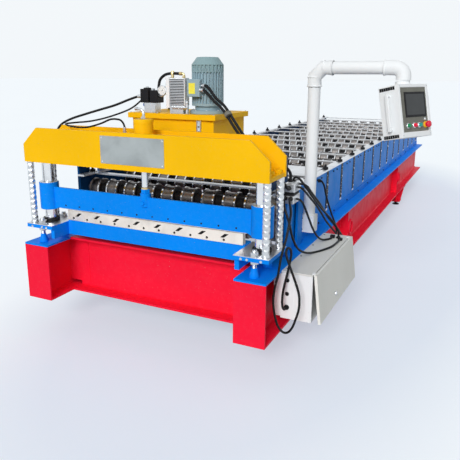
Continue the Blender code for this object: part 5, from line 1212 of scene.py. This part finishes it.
on_box("screen", SCREEN, glass, bevel=0.0003)
BUTTON_Z = -0.247
PANEL_FACE = BOX_OUT - 0.0045
BUTTONS = (("green", GREEN_CAP, -0.09), ("red", RED_CAP, -0.027), ("turquoise", TURQUOISE_CAP, 0.024))
STOP_Y = 0.094
collars = []
collar = [(PANEL_FACE, 0.0165), (0.074, 0.0165), (0.077, 0.014), (0.077, 0.012)]
cap = [(0.074, 0.0122), (0.086, 0.0122), (0.0895, 0.0105), (0.09, 0.007)]
for colour, finish, y in BUTTONS:
    collars += turned("X", y, BUTTON_Z, collar, 28)
collars += turned("X", 0.083, -0.213, [(PANEL_FACE, 0.009), (0.075, 0.009), (0.078, 0.007)], 24)
on_box("button_collars", ZINC, collars)
for colour, finish, y in BUTTONS:
    on_box(colour + "_button", finish, turned("X", y, BUTTON_Z, cap, 28))
stop_collar = [(PANEL_FACE, 0.02), (0.073, 0.02), (0.075, 0.018)]
on_box("stop_collar", YELLOW_CAP, turned("X", STOP_Y, BUTTON_Z, stop_collar))
stop = [(0.074, 0.012), (0.085, 0.012), (0.087, 0.02), (0.095, 0.0205), (0.1, 0.017), (0.1025, 0.009)]
on_box("stop_button", RED_CAP, turned("X", STOP_Y, BUTTON_Z, stop))
GRIP_TOP = -0.045
GRIP_FOOT = -0.272
for name, sign, x, reach in (("left_grip", -1, 0.0, 0.024), ("right_grip", 1, 0.04, 0.028)):
    out = sign * (BOX_HALF + reach)
    wall = sign * (BOX_HALF - 0.001)
    near, far = sorted((out - sign * 0.006, out + sign * 0.006))
    bar = prism("Z", rectangle(x - 0.011, near, x + 0.011, far), GRIP_FOOT, GRIP_TOP)
    near, far = sorted((wall, out))
    for z in (-0.066, -0.266):
        bar += prism("Z", rectangle(x - 0.011, near, x + 0.008, far), z, z + 0.014)
    on_box(name, WHITE, bar, bevel=0.004)
louvres = []
for low in (-0.027, -0.312):
    for i in range(7):
        x = -0.062 + 0.0155 * i
        slat = rectangle(-BOX_HALF - 0.0012, low, -BOX_HALF + 0.002, low + 0.02)
        louvres += prism("X", slat, x, x + 0.0135)
on_box("control_box_vents", BLACK, louvres)
screws = []
head = [(BOX_OUT - 0.001, 0.0045), (BOX_OUT + 0.0015, 0.004), (BOX_OUT + 0.002, 0.002)]
for y in (-0.14, 0.139):
    for z in (-0.01, -0.302):
        screws += turned("X", y, z, head, 12)
on_box("control_box_screws", ZINC, screws)
neck = [(-0.004, 0.052), (0.003, 0.052), (0.005, 0.049), (0.006, 0.043), (0.031, 0.043)]
on_box("control_box_neck", WHITE, turned("Z", 0, 0, neck, 40))

# Cabinet: hollow shell, inner case, cable fittings, screws, hinge tabs and its door
CABINET_Y = (0.25, 1.15)
CABINET_X = (0.8933, 1.085)
CABINET_LOW = -0.3
SHEET = 0.012
x0, x1 = CABINET_X
y0, y1 = CABINET_Y
walls = box((x0, y0, CABINET_LOW), (x0 + SHEET, y1, -SHEET))
walls += box((x0 + SHEET, y0, CABINET_LOW), (x1, y1, CABINET_LOW + SHEET))
walls += box((x0 + SHEET, y0, CABINET_LOW + SHEET), (x1, y0 + SHEET, -SHEET))
walls += box((x0 + SHEET, y1 - SHEET, CABINET_LOW + SHEET), (x1, y1, -SHEET))
piece("cabinet_shell", WHITE, walls, replaces=["cabinet_body"])
piece("cabinet_roof", ROOF_GREY, box((x0, y0, -SHEET), (x1, y1, 0)), bevel=0.002)
inner_case = box((0.848, y0, -0.288), (0.8933, y1, -0.016))
inner_case += box((0.848, y0 - 0.0015, -0.289), (0.972, y0 + 0.001, -0.016))
piece("cabinet_inner_case", WHITE, inner_case, bevel=0.0005)
hole_x = 0.9323
holes = []
for z in (-0.055, -0.1405):
    holes += turned("Y", hole_x, z, [(y0, 0.013), (y0 - 0.0028, 0.013), (y0 - 0.0032, 0.0115)], 28)
gland = [(y0 + 0.001, 0.016), (y0 - 0.006, 0.016), (y0 - 0.007, 0.0125), (y0 - 0.014, 0.011)]
roof_gland = [(GAP, 0.017), (0.007, 0.017), (0.0075, 0.0135), (0.014, 0.0115)]
piece(
    "cabinet_cable_fittings", BLACK, holes,
    turned("Y", hole_x, -0.226, gland, 28),
    turned("Z", 1.025, 1.06, roof_gland, 28),
    box((1.036, 1.000, GAP), (1.064, 1.024, 0.018)),
)
roof_screws = []
for y in (0.3, 0.56, 0.82, 1.1):
    roof_screws += turned("Z", 0.912, y, [(0, 0.006), (0.002, 0.005), (0.0025, 0.003)], 12)
piece("cabinet_roof_screws", BLACK_STEEL, roof_screws)
rail = box((x1 - 0.024, y0 + 0.002, CABINET_LOW + SHEET), (x1 - 0.004, y0 + 0.016, -SHEET))
piece("cabinet_door_rail", WHITE, rail, bevel=0.001)
tabs = []
for y in (0.268, 1.1):
    tabs += box((1.074, y, -0.006), (1.092, y + 0.032, 0.0035))
piece("cabinet_hinge_tabs", WHITE, tabs, bevel=0.001)
HINGE = Vector((1.097, 0.25, -0.008))
DOOR_AJAR = radians(-7)
DOOR_FRAME = (
    Matrix.Translation(ORIGIN + HINGE) @ Matrix.Rotation(DOOR_AJAR, 4, "Y") @ Matrix.Translation(-HINGE)
)
DOOR_LOW = (0.2543, -0.304)
DOOR_HIGH = (1.1457, 0.0)
RETURN = 0.006
outer = rectangle(*DOOR_LOW, *DOOR_HIGH)
inner = rectangle(DOOR_LOW[0] + RETURN, DOOR_LOW[1] + RETURN, DOOR_HIGH[0] - RETURN, DOOR_HIGH[1] - RETURN)
door = stacked("X", (1.101, inner), (1.0905, inner), (1.0905, outer), (1.108, outer))
piece(
    "cabinet_door_sheet", BEIGE, door,
    body="cabinet_door", replaces=["cabinet_door"], bevel=0.0015, to_frame=DOOR_FRAME,
)
lock = turned("X", 0.61, -0.235, [(1.107, 0.013), (1.112, 0.013), (1.116, 0.011), (1.116, 0.006)], 24)
piece("cabinet_door_lock", ZINC, lock, body="cabinet_door", to_frame=DOOR_FRAME)

# Floor, world and lights
FLOOR_HALF = 200.0
FLOOR_COLOUR = (0.5, 0.52, 0.54)
# The floor's glow is darker near the machine than far off: painted shade around and under it.
NEAR_SHADED_GLOW = (0.375, 0.42, 0.49)
FAR_GLOW = (0.545, 0.575, 0.595)
SHADE_REACH = (2.2, 6.4)
SKY = (0.895, 0.93, 0.956)
AMBIENT = (0.95, 0.98, 1.0)
AMBIENT_LEVEL = 0.4
SUN_LEVEL = 2.25
SUN_SPREAD = radians(24)
SUN_FROM = Vector((0.16, -1.0, 0.5))


def seen_rays(tree):
    """1 for rays from the camera, reflections and glass, 0 for the rays that light the object."""
    path = shader_node(tree, "LightPath")
    total = path.outputs["Is Camera Ray"]
    for name in ("Is Glossy Ray", "Is Transmission Ray"):
        added = shader_node(tree, "Math")
        added.use_clamp = True
        tree.links.new(total, added.inputs[0])
        tree.links.new(path.outputs[name], added.inputs[1])
        total = added.outputs[0]
    return total


floor_low = (-FLOOR_HALF, -FLOOR_HALF, FLOOR - 0.05)
floor_high = (FLOOR_HALF, FLOOR_HALF, FLOOR - 0.0005)
floor_mesh = skinned("floor", box(floor_low, floor_high))
floor_mesh.transform(Matrix.Translation(ORIGIN))
floor = placed("floor", floor_mesh)
finish, tree, shader = started("studio_floor")
cloud = [(0.3, scaled(FLOOR_COLOUR, 0.985)), (0.7, scaled(FLOOR_COLOUR, 1.015))]
tree.links.new(ramp(tree, noise(tree, 0.6, 3.0), cloud), shader.inputs["Base Color"])
shader.inputs["Roughness"].default_value = 0.9
shader.inputs["Specular IOR Level"].default_value = 0.0
spread = shader_node(tree, "Mapping", Vector=shader_node(tree, "TexCoord").outputs["Object"])
spread.inputs["Scale"].default_value = (1 / SHADE_REACH[0], 1 / SHADE_REACH[1], 0)
distance = shader_node(tree, "VectorMath", "LENGTH", Vector=spread.outputs["Vector"])
# Painted shade: the glow fades to the darker near colour inside an oval around the machine.
glow = ramp(tree, distance.outputs["Value"], [(0.7, NEAR_SHADED_GLOW), (1.0, FAR_GLOW)])
tree.links.new(glow, shader.inputs["Emission Color"])
tree.links.new(seen_rays(tree), shader.inputs["Emission Strength"])
floor_mesh.materials.append(finish)

world = bpy.data.worlds.new("studio")
world.use_nodes = True
tree = world.node_tree
plain = tree.nodes["Background"]
plain.inputs["Color"].default_value = (*AMBIENT, 1.0)
plain.inputs["Strength"].default_value = AMBIENT_LEVEL
split = shader_node(tree, "SeparateXYZ", Vector=shader_node(tree, "TexCoord").outputs["Generated"])
heights = ramp(tree, split.outputs["Z"], [(0.0, SKY), (0.6, scaled(SKY, 1.02))])
seen = shader_node(tree, "Background", Color=heights)
join = shader_node(tree, "MixShader", Fac=seen_rays(tree))
tree.links.new(plain.outputs["Background"], join.inputs[1])
tree.links.new(seen.outputs["Background"], join.inputs[2])
tree.links.new(join.outputs["Shader"], tree.nodes["World Output"].inputs["Surface"])
bpy.context.scene.world = world

sun_data = bpy.data.lights.new("sun", "SUN")
sun_data.energy = SUN_LEVEL
sun_data.angle = SUN_SPREAD
sun = placed("sun", sun_data)
sun.rotation_mode = "QUATERNION"
sun.rotation_quaternion = (-SUN_FROM).to_track_quat("-Z", "Y")

bpy.context.scene.view_settings.view_transform = "Standard"
